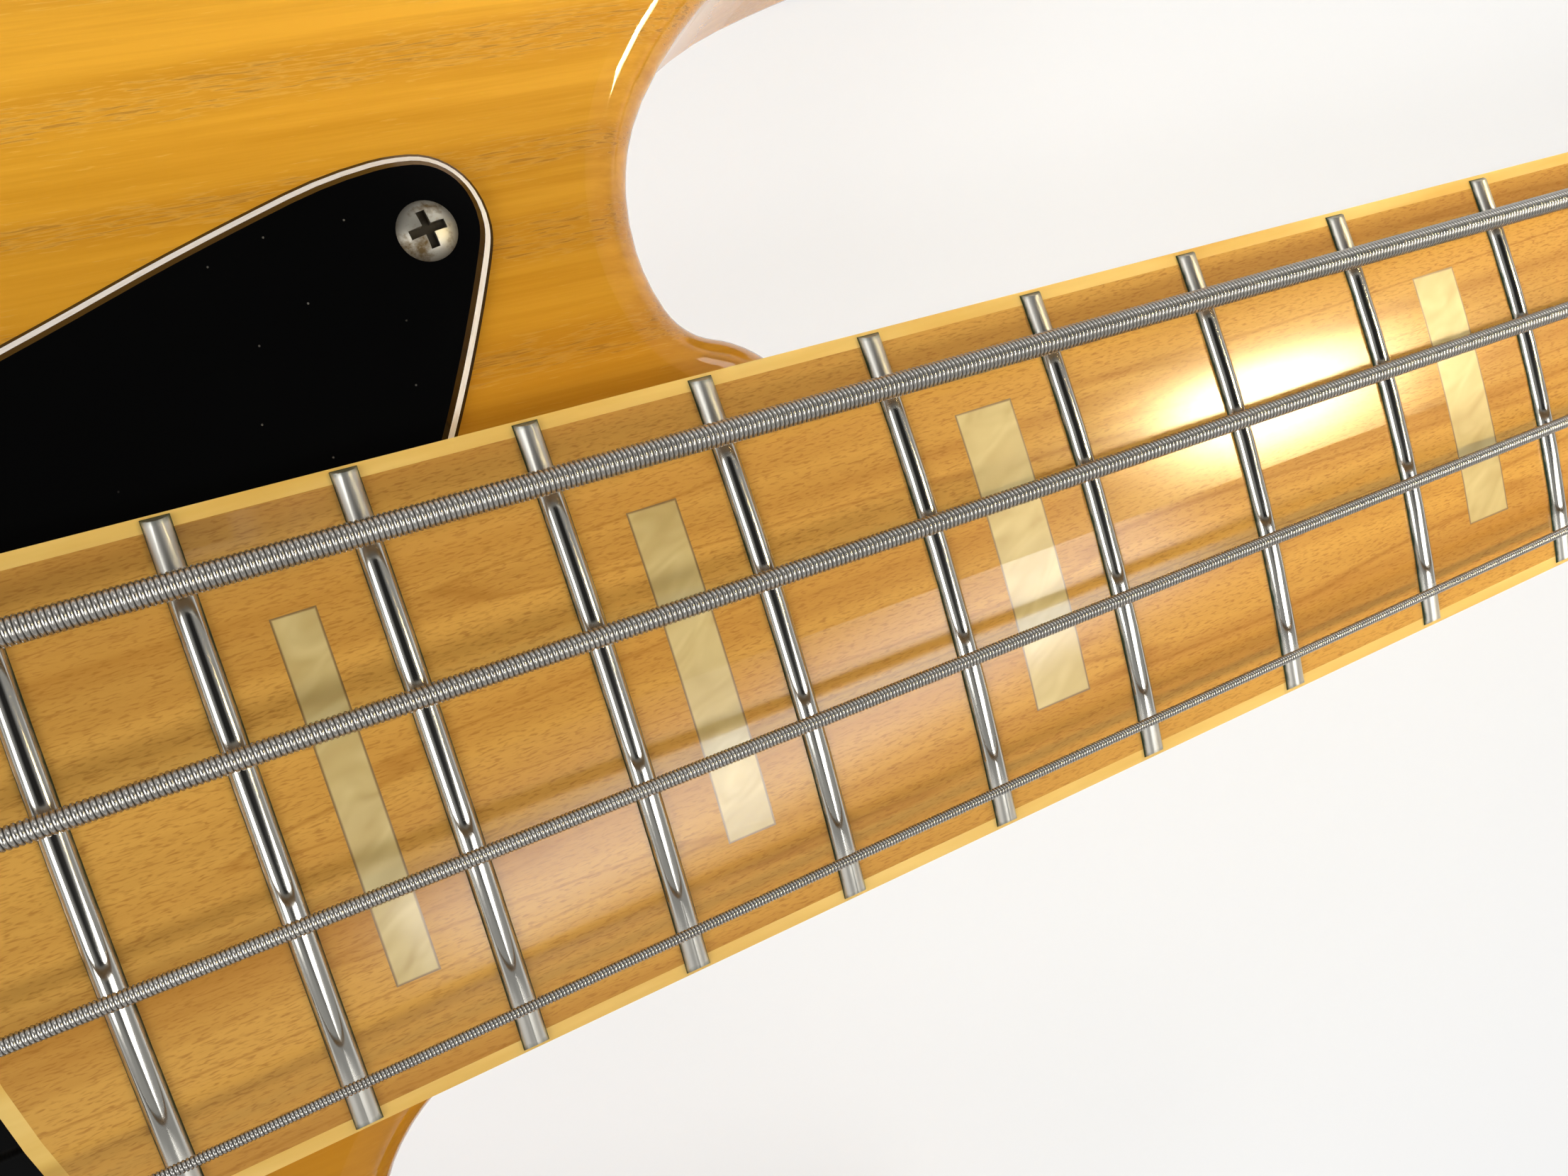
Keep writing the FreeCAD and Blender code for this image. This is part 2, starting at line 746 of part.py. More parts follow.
head_tip_x = nut_x + d.head_length
HEAD_NODES = [
    (nut_x - 4, -d.nut_width / 2 - 0.1, -1),
    (nut_x + 16, -d.nut_width / 2 - 1.4, -11),
    (nut_x + 58, -d.nut_width / 2 - 12, -9),
    (nut_x + 120, -d.nut_width / 2 - 17, -1),
    (head_tip_x - 44, -d.nut_width / 2 - 13.5, 11),
    (head_tip_x - 6, -d.nut_width / 2 + 2, 50),
    (head_tip_x, -d.nut_width / 2 + 16, 100),
    (head_tip_x - 22, d.nut_width / 2 - 4.5, 166),
    (head_tip_x - 60, d.nut_width / 2 + 3.0, 168.5),
    (nut_x + 44, d.nut_width / 2 + 27.5, 168.5),
    (nut_x + 24, d.nut_width / 2 + 19, 235),
    (nut_x + 10, d.nut_width / 2 + 2.2, 204),
    (nut_x - 4, d.nut_width / 2 + 0.1, 181),
]


def open_slab(spans, low, high):
    """Flat solid of an outline whose last point is joined to its first by a straight line."""
    shift = Vector(0, 0, low)
    edges = [edge_of(tuple(p + shift for p in span)) for span in spans]
    edges.append(Part.LineSegment(spans[-1][2] + shift, spans[0][0] + shift).toShape())
    return Part.Face(Part.Wire(edges)).extrude(Vector(0, 0, high - low))


def side_solid(points_up, half_width):
    """Solid with the same side view all across: edges in the XZ plane, carried along Y."""
    face = Part.Face(Part.Wire(points_up))
    face.translate(Vector(0, -half_width, 0))
    return face.extrude(Vector(0, 2 * half_width, 0))


def lines_through(points):
    """Straight edges from each point to the next."""
    return [Part.LineSegment(a, b).toShape() for a, b in zip(points, points[1:])]


def head_relief():
    """What is cleared over the headstock's face: a hollow curve comes down from the nut."""
    start = Vector(nut_x + d.nut_thick, 0, board_z)
    swing = math.acos(1 - d.head_drop / d.head_scoop)
    foot = Vector(start.x + d.head_scoop * math.sin(swing), 0, head_z)
    middle = Vector(foot.x - d.head_scoop * math.sin(swing / 2), 0,
                    head_z + d.head_scoop * (1 - math.cos(swing / 2)))
    far = Vector(head_tip_x + d.head_thick, 0, head_z)
    rise = Vector(0, 0, d.head_length)
    edges = [Part.Arc(start, middle, foot).toShape()]
    edges += lines_through([foot, far, far + rise, start + rise, start])
    return side_solid(edges, d.head_length)


def head_underside():
    """What is cleared under the headstock's back: a curve falls from the shaft to the back."""
    start = Vector(nut_x - d.head_blend, 0, board_z - d.neck_depth_nut)
    foot = Vector(nut_x + d.head_blend, 0, head_back_z)
    edges = [edge_of(span) for span in biarc(start, X_AXIS, foot, X_AXIS)]
    far = Vector(head_tip_x + d.head_thick, 0, head_back_z)
    fall = Vector(0, 0, -d.head_length)
    edges += lines_through([foot, far, far + fall, start + fall, start])
    return side_solid(edges, d.head_length)


head = open_slab(spans_through(HEAD_NODES, closed=False), head_back_z, board_z).cut(head_underside())
flat_heel = box(board_end_x, shaft_start, -d.nut_width, d.nut_width, pocket_z - heel_depth, pocket_z)
neck = joined([heel, shaft, head]).cut([head_relief(), flat_heel])

# Truss rod: a bar in a bore along the neck, with its round nut at the heel end
truss_z = board_z - d.truss_drop
truss_low_x = board_end_x + 3.0
truss_high_x = nut_x - d.truss_rod_end
rod_start = truss_low_x + d.truss_nut_length
rod = Part.makeCylinder(d.truss_rod_dia / 2, truss_high_x - rod_start, Vector(rod_start, 0, truss_z), X_AXIS)
rod_nut = Part.makeCylinder(d.truss_nut_dia / 2, d.truss_nut_length, Vector(truss_low_x, 0, truss_z), X_AXIS)
nut_slot = box(
    truss_low_x, truss_low_x + 3.0, -d.truss_nut_dia, d.truss_nut_dia, truss_z - 0.8, truss_z + 0.8)
rod_nut = rod_nut.cut([nut_slot, nut_slot.copy().rotated(Vector(0, 0, truss_z), X_AXIS, 90)])
rod_bore = Part.makeCylinder(
    d.truss_rod_dia / 2, truss_high_x - truss_low_x, Vector(truss_low_x, 0, truss_z), X_AXIS)
nut_bore = Part.makeCylinder(
    d.truss_nut_dia / 2, rod_start - board_end_x, Vector(board_end_x, 0, truss_z), X_AXIS)
neck = neck.cut([rod_bore, nut_bore])
piece("truss_rod", [rod, rod_nut])


# Screws: domed heads with a cross recess, straight shanks and pointed ends
def screw(shank_dia, head_dia, dome, length, sink=0.0):
    """Screw along Z with its head's rim at height 0, and the same screw without its recess."""
    rim = head_dia / 2
    shank = shank_dia / 2
    point = min(2 * shank, length / 3)
    radius = (rim ** 2 + dome ** 2) / (2 * dome)
    half = math.asin(rim / radius) / 2
    crest = Vector(0, 0, dome)
    shoulder = Vector(radius * math.sin(half), 0, dome - radius * (1 - math.cos(half)))
    edges = [Part.Arc(Vector(rim, 0, 0), shoulder, crest).toShape()]
    outline = [crest, Vector(0, 0, -length), Vector(shank, 0, point - length), Vector(shank, 0, -sink)]
    edges += lines_through(outline + [Vector(rim, 0, 0)])
    whole = Part.Face(Part.Wire(edges)).revolve(Vector(0, 0, 0), Z_AXIS, 360)
    arm = 0.31 * head_dia
    blade = 0.075 * head_dia
    depth = dome - 0.2 * head_dia
    slot = box(-arm, arm, -blade, blade, depth, dome + 1)
    return whole.cut([slot, slot.copy().rotated(Vector(0, 0, 0), Z_AXIS, 90)]), whole


def placed(shape, x, y, z, axis=Z_AXIS, turn=0.0):
    """Copy of a shape with its Z axis along axis, turned about it and moved to a point."""
    rotation = Rotation(Z_AXIS, axis).multiply(Rotation(Z_AXIS, turn))
    copy = shape.copy()
    copy.Placement = Placement(Vector(x, y, z), rotation)
    return copy


# Neck plate on the back, with its four screws into the heel
plate_x = board_end_x + d.plate_setback
plate_holes = [(sx, sy) for sx in (1, -1) for sy in (1, -1)]
plate_body = doc.addObject("PartDesign::Body", "neck_plate_body")
plate_sketch = sketch_on(plate_body, "neck_plate_outline")
half_plate = ("sizes.plate_length / 2", "sizes.plate_width / 2")
sketch_polygon(plate_sketch, [
    (f"-{half_plate[0]}", f"-{half_plate[1]}"),
    (half_plate[0], f"-{half_plate[1]}"),
    (half_plate[0], half_plate[1]),
    (f"-{half_plate[0]}", half_plate[1]),
])
plate_pad = pad(plate_body, plate_sketch, "sizes.plate_thick")
round_edges(plate_body, plate_pad, "sizes.plate_corner", upright)
plate_hole_sketch = sketch_on(plate_body, "neck_plate_holes")
for sx, sy in plate_holes:
    sketch_circle(plate_hole_sketch, f"{sx} * sizes.plate_screw_x / 2", f"{sy} * sizes.plate_screw_y / 2",
                  "sizes.neck_screw_dia / 2")
pocket_through(plate_body, plate_hole_sketch)
place(plate_body, "sizes.bridge_setback + sizes.scale_length * 2 ^ (-20 / 12) - sizes.board_overhang"
      " + sizes.plate_setback", "0", "-sizes.body_thick / 2 - sizes.plate_thick")
sub_part(plate_body, "neck_plate")

neck_screw_length = d.plate_thick + d.body_thick - d.pocket_depth + d.neck_screw_reach
neck_screw, neck_screw_whole = screw(
    d.neck_screw_dia, d.neck_screw_head, d.neck_screw_rise, neck_screw_length)
neck_screws = []
neck_screw_bores = []
for sx, sy in plate_holes:
    x = plate_x + sx * d.plate_screw_x / 2
    y = sy * d.plate_screw_y / 2
    seat_z = -face_z - d.plate_thick
    neck_screws.append(placed(neck_screw, x, y, seat_z, Vector(0, 0, -1), 20 * sx + 9 * sy))
    neck_screw_bores.append(placed(neck_screw_whole, x, y, seat_z, Vector(0, 0, -1)))
neck = neck.cut(neck_screw_bores)
piece("neck_screws", neck_screws)

# Pickguard of three plies with one bevel, notched round the neck pickup and cut square beside the neck
guard_edge = fret_x(17)
neck_pickup_x = bridge_x + d.pickup_x_neck
bridge_pickup_x = bridge_x + d.pickup_x_bridge
notch_x = neck_pickup_x + d.pickup_ear_out + d.pickup_ear_radius + 2.5
notch_y = d.pickup_length / 2 + 7.0
control_end_x = d.control_x + d.control_length / 2
treble_x = high_cutaway_x - 7
bass_x = guard_edge - 7
GUARD_NODES = [
    (notch_x, 18, -90),
    (notch_x, -notch_y + 13, -90),
    (notch_x - 13, -notch_y, 180),
    (neck_pickup_x - 26, -notch_y - 5, 196),
    (control_end_x + 4, -d.control_y + 20, -92),
    (control_end_x + 16, -d.control_y - 4, -28),
    (d.high_waist_x, -d.high_waist_y + 13, -1),
    (0.56 * d.high_waist_x + 0.44 * high_horn_x, -d.high_horn_y - 15, -3),
    (high_horn_x - 52, -d.high_horn_y - 8, 16),
    (high_horn_x - 38, -d.high_horn_y + 5, 92),
    (high_horn_x - 56, -d.high_horn_y + 19, 168),
    (high_cutaway_x - 13, -d.high_cutaway_y - 6, 100),
    (treble_x - 1.5, -board_half(treble_x) - 5.0, 80),
    (treble_x, -board_half(treble_x) + 5.0, 80),
    (bass_x - 1.9, board_half(bass_x) - 5.0, 59),
    (bass_x + 4.7, board_half(bass_x) + 6.05, 60.5),
    (bass_x + 10.2, board_half(bass_x) + 16.5, 64),
    (bass_x + 11.6, board_half(bass_x) + 20.5, 83),
    (bass_x + 9.1, board_half(bass_x) + 27.6, 139),
    (bass_x + 1.3, board_half(bass_x) + 29.4, 184),
    (bass_x - 16.4, board_half(bass_x) + 25.6, 195.5),
    (bass_x - 36.1, board_half(bass_x) + 19.65, 196.5),
    (bass_x - 60, board_half(bass_x) + 12.3, 196),
    (notch_x + 22, 29, 186),
    (notch_x + 10, 28, 180),
]
guard_spans = spans_through(GUARD_NODES)
guard_slot = neck_slab(heel_front_x, face_z - 1, guard_z + 1, -d.guard_gap)
guard_plies = []
level = face_z
for name, thick in (("base", d.guard_base_ply), ("core", d.guard_core_ply), ("top", d.guard_top_ply)):
    low = ring(guard_spans, level, d.guard_bevel * (level - face_z))
    high = ring(guard_spans, level + thick, d.guard_bevel * (level + thick - face_z))
    blank = Part.makeLoft([low, high], True, True)
    guard_plies.append((f"pickguard_{name}_ply", blank.cut(guard_slot)))
    level += thick


# Controls: places along the chrome plate on the high-string side, measured from the plate's middle
control_place = Placement(Vector(d.control_x, -d.control_y, face_z), Rotation(Z_AXIS, d.control_angle))
KNOBS = ("volume_knob_neck", "volume_knob_bridge", "tone_knob")
pot_stations = [d.control_first - d.control_pitch * i for i in range(len(KNOBS))]


def on_controls(shape):
    """Copy of a shape that was drawn along the control plate, moved to its place on the body."""
    copy = shape.copy()
    copy.Placement = control_place.multiply(copy.Placement)
    return copy


def stadium(length, width, low, high):
    """Flat solid with round ends, lengthways along X and centred."""
    run = (length - width) / 2
    middle = box(-run, run, -width / 2, width / 2, low, high)
    return joined([middle, cylinder(width / 2, low, high, run), cylinder(width / 2, low, high, -run)])


# Cover screws: round the pickguard and at the ends of the control plate
GUARD_SCREWS = [
    (bass_x + 4.5, board_half(bass_x) + 20.9),
    (bass_x - 72, 36.0),
    (notch_x + 7, 20.0),
    (notch_x + 7, -notch_y + 7),
    (neck_pickup_x - 28, -notch_y - 11),
    (control_end_x + 12, -d.control_y + 8),
    (d.high_waist_x + 14, -d.high_waist_y + 19),
    (0.5 * d.high_waist_x + 0.5 * high_horn_x, -d.high_horn_y - 8),
    (high_horn_x - 46, -d.high_horn_y + 4),
    (high_cutaway_x - 20, -d.high_cutaway_y),
]
cover_screw, cover_screw_whole = screw(
    d.cover_screw_dia, d.cover_screw_head, d.cover_screw_dome, d.cover_screw_length, d.cover_screw_sink)
cover_screws = []
cover_screw_bores = []
for number, (x, y) in enumerate(GUARD_SCREWS):
    cover_screws.append(placed(cover_screw, x, y, guard_z, turn=8 + 37 * number))
    cover_screw_bores.append(placed(cover_screw_whole, x, y, guard_z))
for side in (1, -1):
    seat = Placement(Vector(side * d.control_screw_x, 0, d.control_thick), Rotation(Z_AXIS, 20 + 30 * side))
    for shape, group in ((cover_screw, cover_screws), (cover_screw_whole, cover_screw_bores)):
        moved = shape.copy()
        moved.Placement = seat
        group.append(on_controls(moved))
guard_bores = cover_screw_bores[:len(GUARD_SCREWS)]
control_bores = cover_screw_bores[len(GUARD_SCREWS):]
for name, ply in guard_plies:
    piece(name, ply.cut(guard_bores))
piece("cover_screws", cover_screws)

# Control plate
control_body = doc.addObject("PartDesign::Body", "control_plate_body")
control_sketch = sketch_on(control_body, "control_plate_outline")
sketch_polygon(control_sketch, [
    ("-sizes.control_length / 2", "-sizes.control_width / 2"),
    ("sizes.control_length / 2", "-sizes.control_width / 2"),
    ("sizes.control_length / 2", "sizes.control_width / 2"),
    ("-sizes.control_length / 2", "sizes.control_width / 2"),
])
control_pad = pad(control_body, control_sketch, "sizes.control_thick")
round_edges(control_body, control_pad, "sizes.control_width / 2 - 0.5", upright)
control_hole_sketch = sketch_on(control_body, "control_plate_holes")
for index in range(len(KNOBS)):
    sketch_circle(control_hole_sketch, f"sizes.control_first - {index} * sizes.control_pitch", "0",
                  "sizes.pot_bushing_dia / 2 + sizes.running_gap")
sketch_circle(control_hole_sketch, "-sizes.jack_x", "0", "sizes.jack_sleeve_dia / 2 + sizes.running_gap")
pocket_through(control_body, control_hole_sketch)
control_body.Placement = control_place
place(control_body, "sizes.control_x", "-sizes.control_y", "sizes.body_thick / 2")
control_body.setExpression("Placement.Rotation.Angle", "sizes.control_angle")
control_sinks = doc.addObject("Part::Feature", "control_plate_sinks")
control_sinks.Shape = Part.makeCompound(control_bores)
control_cut = doc.addObject("Part::Cut", "control_plate_cut")
control_cut.Base = control_body
control_cut.Tool = control_sinks
sub_part(control_cut, "control_plate")

# Potentiometers: a round case under the plate with a threaded bushing through it
pot_cases = []
for station in pot_stations:
    case = cylinder(d.pot_case_dia / 2, -d.pot_case_height, 0, station)
    bushing = cylinder(d.pot_bushing_dia / 2, -1, d.pot_bushing_rise, station)
    shaft_room = d.pot_shaft_dia / 2 + d.running_gap
    bore = cylinder(shaft_room, 1.5 - d.pot_case_height, d.pot_bushing_rise + 1, station)
    pot_cases.append(on_controls(joined([case, bushing]).cut(bore)))
piece("potentiometers", pot_cases)


def hex_prism(across_flats, low, high, x):
    """Six-sided solid between two heights."""
    corner = across_flats / math.sqrt(3)
    turns = [math.radians(60 * i) for i in range(6)]
    points = [Vector(x + corner * math.cos(turn), corner * math.sin(turn), low) for turn in turns]
    return Part.Face(Part.makePolygon(points + points[:1])).extrude(Vector(0, 0, high - low))


nut_top = d.control_thick + d.hex_nut_height
control_nuts = []
for station, hole in [(x, d.pot_bushing_dia) for x in pot_stations] + [(-d.jack_x, d.jack_sleeve_dia)]:
    ring_nut = hex_prism(d.hex_nut_flat, d.control_thick, nut_top, station)
    control_nuts.append(on_controls(ring_nut.cut(cylinder(hole / 2, 0, nut_top + 1, station))))
piece("control_nuts", control_nuts)

# Output jack: a sleeve through the plate on an insulating washer, and the spring that meets the plug's tip
jack_top = nut_top + 1.0
jack_low = -0.4 * d.jack_length
washer_low = -3.0
jack = joined([
    cylinder(d.jack_sleeve_dia / 2, jack_low, jack_top, -d.jack_x),
    cylinder(d.jack_sleeve_dia / 2 + 4.0, washer_low, 0, -d.jack_x),
])
jack = jack.cut(cylinder(d.jack_bore / 2, jack_low - 1, jack_top + 1, -d.jack_x))
piece("output_jack", on_controls(jack))
spring_out = d.jack_sleeve_dia / 2 + 2.5
spring_in = d.jack_bore / 2 + 0.4
SPRING_STRIP = 0.5
tip_points = [
    (spring_out, washer_low),
    (spring_out, 0.72 * -d.jack_length),
    (spring_in, 0.86 * -d.jack_length),
    (spring_out, -d.jack_length),
]
strip = [Vector(r - d.jack_x, -2, z) for r, z in tip_points]
strip += [Vector(r - d.jack_x + SPRING_STRIP, -2, z) for r, z in reversed(tip_points)]
tip_spring = Part.Face(Part.makePolygon(strip + strip[:1])).extrude(Vector(0, 4, 0))
piece("jack_tip_spring", on_controls(tip_spring))

# Knobs: fluted and turned, each with the shaft that turns in its potentiometer
def knob(label, index):
    """Knob as a turned body with flutes, on its shaft; its foot stands just over the nut."""
    body = doc.addObject("PartDesign::Body", f"{label}_cap")
    profile = sketch_on(body, f"{label}_profile", "XZ_Plane")
    rise = "(sizes.pot_shaft_rise - sizes.control_thick - sizes.hex_nut_height - sizes.knob_gap)"
    recess = "(sizes.pot_bushing_rise - sizes.control_thick - sizes.hex_nut_height)"
    hollow = "(sizes.hex_nut_flat / 2 + 1)"
    sketch_polygon(profile, [
        (hollow, "0"),
        ("sizes.knob_dia / 2", "0"),
        ("sizes.knob_dia / 2 - 0.8", "sizes.knob_height - 1.6"),
        ("sizes.knob_dia / 2 - 2.4", "sizes.knob_height"),
        ("0", "sizes.knob_height"),
        ("0", rise),
        ("sizes.pot_shaft_dia / 2", rise),
        ("sizes.pot_shaft_dia / 2", recess),
        (hollow, recess),
    ])
    turned_cap = body.newObject("PartDesign::Revolution", f"{label}_turned")
    turned_cap.Profile = profile
    turned_cap.ReferenceAxis = (profile, ["V_Axis"])
    turned_cap.Angle = 360
    doc.recompute()
    flute_sketch = sketch_on(body, f"{label}_flute")
    sketch_circle(flute_sketch, "sizes.knob_dia / 2 + 0.3", "0", "1.1")
    flute = pocket_through(body, flute_sketch)
    flutes = body.newObject("PartDesign::PolarPattern", f"{label}_flutes")
    flutes.Originals = [flute]
    flutes.Axis = (origin_plane(body, "Z_Axis"), [""])
    flutes.Angle = 360
    flutes.setExpression("Occurrences", "sizes.knob_flutes")
    body.Tip = flutes
    place(body, z="sizes.control_thick + sizes.hex_nut_height + sizes.knob_gap")
    shaft = bind(
        doc.addObject("Part::Cylinder", f"{label}_shaft"),
        Radius="sizes.pot_shaft_dia / 2",
        Height="sizes.pot_shaft_rise + sizes.pot_case_height - 2.0",
    )
    place(shaft, z="2.0 - sizes.pot_case_height")
    both = doc.addObject("Part::Compound", f"{label}_set")
    both.Links = [body, shaft]
    both.Placement = control_place
    along = f"(sizes.control_first - {index} * sizes.control_pitch)"
    place(both, f"sizes.control_x + {along} * cos(sizes.control_angle)",
          f"-sizes.control_y + {along} * sin(sizes.control_angle)", "sizes.body_thick / 2")
    both.setExpression("Placement.Rotation.Angle", "sizes.control_angle")
    sub_part(both, label)


for index, label in enumerate(KNOBS):
    knob(label, index)

# Pickups: a shell with four ears, eight magnets, a coil between two plates, and foam under it
pickup_low = face_z - d.pickup_sink
pickup_top = face_z + d.pickup_rise
flat_low = pickup_low - d.flatwork_thick
cavity_z = face_z - d.pickup_cavity_depth
PICKUP_CORNER = 4.0
coil_half = d.pickup_width / 2 - d.pickup_wall - 0.6
ear_places = [(sx * d.pickup_ear_out, sy * d.pickup_ear_span / 2) for sx in (1, -1) for sy in (1, -1)]


def rounded_block(middle_x, length, width, low, high, corner):
    """Upright block with rounded corners, lengthways along Y and centred on middle_x."""
    block = box(middle_x - width / 2, middle_x + width / 2, -length / 2, length / 2, low, high)
    if corner <= 0:
        return block
    return block.makeFillet(corner, [edge for edge in block.Edges if upright(edge)])


def ears(middle_x, grow, low, high):
    """The four lugs beside a pickup, as solids that reach into its side."""
    lugs = []
    radius = d.pickup_ear_radius + grow
    for out, along in ear_places:
        lugs.append(cylinder(radius, low, high, middle_x + out, along))
        near, far = sorted((middle_x, middle_x + out))
        lugs.append(box(near, far, along - radius, along + radius, low, high))
    return lugs


pickup_screw_reach = d.pickup_ear_depth + 8.0
pickup_screw, pickup_screw_whole = screw(2.8, 5.4, 1.6, pickup_screw_reach)
magnets = []
coils = []
flatwork = []
foam = []
pickup_screws = []
pickup_cavities = []
for label, middle_x in (("neck_pickup_cover", neck_pickup_x), ("bridge_pickup_cover", bridge_pickup_x)):
    pole_shifts = (d.pole_pair / 2, -d.pole_pair / 2)
    pole_ys = [string_y(n, middle_x) + shift for n in range(1, STRINGS + 1) for shift in pole_shifts]
    poles = [cylinder(d.pole_dia / 2, flat_low, pickup_top + d.pole_rise, middle_x, y) for y in pole_ys]
    magnets += poles
    shell = rounded_block(middle_x, d.pickup_length, d.pickup_width, pickup_low, pickup_top, PICKUP_CORNER)
    crown_edges = [e for e in shell.Edges if abs(e.BoundBox.ZMin - pickup_top) < 1e-6]
    shell = shell.makeFillet(1.2, crown_edges)
    shell = joined([shell] + ears(middle_x, 0, face_z - d.pickup_ear_thick, face_z))
    inner_length = d.pickup_length - 2 * d.pickup_wall
    inner_width = d.pickup_width - 2 * d.pickup_wall
    hollow = rounded_block(middle_x, inner_length, inner_width, pickup_low - 1, pickup_top - d.pickup_wall,
                           PICKUP_CORNER - d.pickup_wall)
    bores = []
    for out, along in ear_places:
        bores.append(placed(pickup_screw_whole, middle_x + out, along, face_z))
        pickup_screws.append(placed(pickup_screw, middle_x + out, along, face_z, turn=31 * along + 7 * out))
    piece(label, shell.cut([hollow] + poles + bores))
    base = rounded_block(middle_x, d.pickup_length, d.pickup_width, flat_low, pickup_low, PICKUP_CORNER)
    top_low = pickup_top - d.pickup_wall - d.flatwork_thick
    lid = rounded_block(middle_x, inner_length - 1, inner_width - 1, top_low, pickup_top - d.pickup_wall,
                        PICKUP_CORNER - d.pickup_wall)
    flatwork += [base.cut(poles), lid.cut(poles)]
    run = pole_ys[0]
    pole = d.pole_dia / 2
    core_slot = joined([box(middle_x - pole, middle_x + pole, -run, run, pickup_low, top_low),
                        cylinder(pole, pickup_low, top_low, middle_x, run),
                        cylinder(pole, pickup_low, top_low, middle_x, -run)])
    winding = joined([box(middle_x - coil_half, middle_x + coil_half, -run, run, pickup_low, top_low),
                      cylinder(coil_half, pickup_low, top_low, middle_x, run),
                      cylinder(coil_half, pickup_low, top_low, middle_x, -run)])
    coils.append(winding.cut(core_slot))
    pad_half = d.pickup_length / 2 - 16
    foam.append(box(middle_x - 6, middle_x + 6, -pad_half, pad_half, cavity_z, flat_low))
    room = rounded_block(middle_x, d.pickup_length + 2 * d.pickup_gap, d.pickup_width + 2 * d.pickup_gap,
                         cavity_z, face_z + 1, PICKUP_CORNER)
    pickup_cavities += [room] + ears(middle_x, d.pickup_gap, face_z - d.pickup_ear_depth, face_z + 1) + bores
piece("pickup_magnets", magnets)
piece("pickup_coils", coils)
piece("pickup_flatwork", flatwork)
piece("pickup_foam", foam)
piece("pickup_screws", pickup_screws)

# Wiring: a lead from each pickup through its bore to a potentiometer, the tone capacitor and the jack wire
lead_z = flat_low - d.lead_dia / 2
lead_start_y = -d.pickup_length / 2 + 8
wires = []
lead_bores = []
pot_low = face_z - d.pot_case_height
for middle_x, station in ((neck_pickup_x, pot_stations[0]), (bridge_pickup_x, pot_stations[1])):
    start = Vector(middle_x, lead_start_y, lead_z)
    under_pot = control_place.multVec(Vector(station, 0, 0))
    end = Vector(under_pot.x, under_pot.y, pot_low - d.lead_dia / 2)
    run = end - start
    wires.append(Part.makeCylinder(d.lead_dia / 2, run.Length, start, run))
    lead_bores.append(Part.makeCylinder(d.lead_channel_dia / 2, run.Length, start, run))
CAPACITOR_RADIUS = 3.0
capacitor_run = d.control_pitch - d.pot_case_dia / 4
capacitor_end = Vector(pot_stations[2], 0, -d.pot_case_height - CAPACITOR_RADIUS)
capacitor = Part.makeCylinder(CAPACITOR_RADIUS, capacitor_run, capacitor_end, X_AXIS)
jack_wire_end = -d.jack_x + spring_out + SPRING_STRIP
JACK_WIRE_RADIUS = 0.8
jack_wire = Part.makeCylinder(
    JACK_WIRE_RADIUS, pot_stations[2] - d.pot_case_dia / 4 - jack_wire_end,
    Vector(jack_wire_end, 0, -d.pot_case_height - JACK_WIRE_RADIUS), X_AXIS)
wires += [on_controls(capacitor), on_controls(jack_wire)]
piece("wiring", wires)

# Bridge: a bent plate whose rear wall holds the strings' ends and the saddles' long screws
wall_x = bridge_x - d.bridge_wall_back
plate_top = face_z + d.bridge_thick
STRING_NUMBERS = range(1, STRINGS + 1)
anchor_z = plate_top + 3.4


def saddle_x(number):
    """Rest place of a saddle: the thicker the string, the further back."""
    return bridge_x - d.saddle_step * (STRINGS - number)


def wrap_radius(number):
    """Radius of a string's centre line as it bends over its saddle's groove."""
    return d.saddle_dia / 2 - d.saddle_groove + d.body_gap + string_radius(number)


def saddle_z(number):
    return string_z(number, saddle_x(number)) - wrap_radius(number)


def bridge_y(number):
    return string_y(number, bridge_x)


def screw_y(number):
    """The saddle's long screw stands beside the string."""
    return bridge_y(number) - d.saddle_screw_side


def anchor_point(number):
    """Where a string leaves its ball end, just behind the bridge wall."""
    return Vector(wall_x - d.bridge_thick - d.body_gap, bridge_y(number), anchor_z)


def tail_heading(number):
    """Direction of a string from its ball end up to where it touches its saddle."""
    reach = Vector(saddle_x(number), bridge_y(number), saddle_z(number)) - anchor_point(number)
    swing = math.atan2(reach.z, reach.x) + math.asin(wrap_radius(number) / reach.Length)
    return Vector(math.cos(swing), 0, math.sin(swing))


bridge_body = doc.addObject("PartDesign::Body", "bridge_plate_body")
bridge_sketch = sketch_on(bridge_body, "bridge_profile", "XZ_Plane")
rear = "(sizes.bridge_setback - sizes.bridge_wall_back - sizes.bridge_thick)"
foot = "sizes.body_thick / 2"
sketch_polygon(bridge_sketch, [
    (rear, foot),
    (f"{rear} + sizes.bridge_length", foot),
    (f"{rear} + sizes.bridge_length", f"{foot} + sizes.bridge_thick"),
    (f"{rear} + sizes.bridge_thick", f"{foot} + sizes.bridge_thick"),
    (f"{rear} + sizes.bridge_thick", f"{foot} + sizes.bridge_wall_height"),
    (rear, f"{foot} + sizes.bridge_wall_height"),
])
bridge_pad = pad(bridge_body, bridge_sketch, "sizes.bridge_width")
bridge_pad.Midplane = True
doc.recompute()


def outer_bend(edge):
    """True for the long lower edge of the bent plate's rear."""
    middle = edge.BoundBox.Center
    return abs(middle.x - wall_x + d.bridge_thick) < 1e-6 and abs(middle.z - face_z) < 1e-6


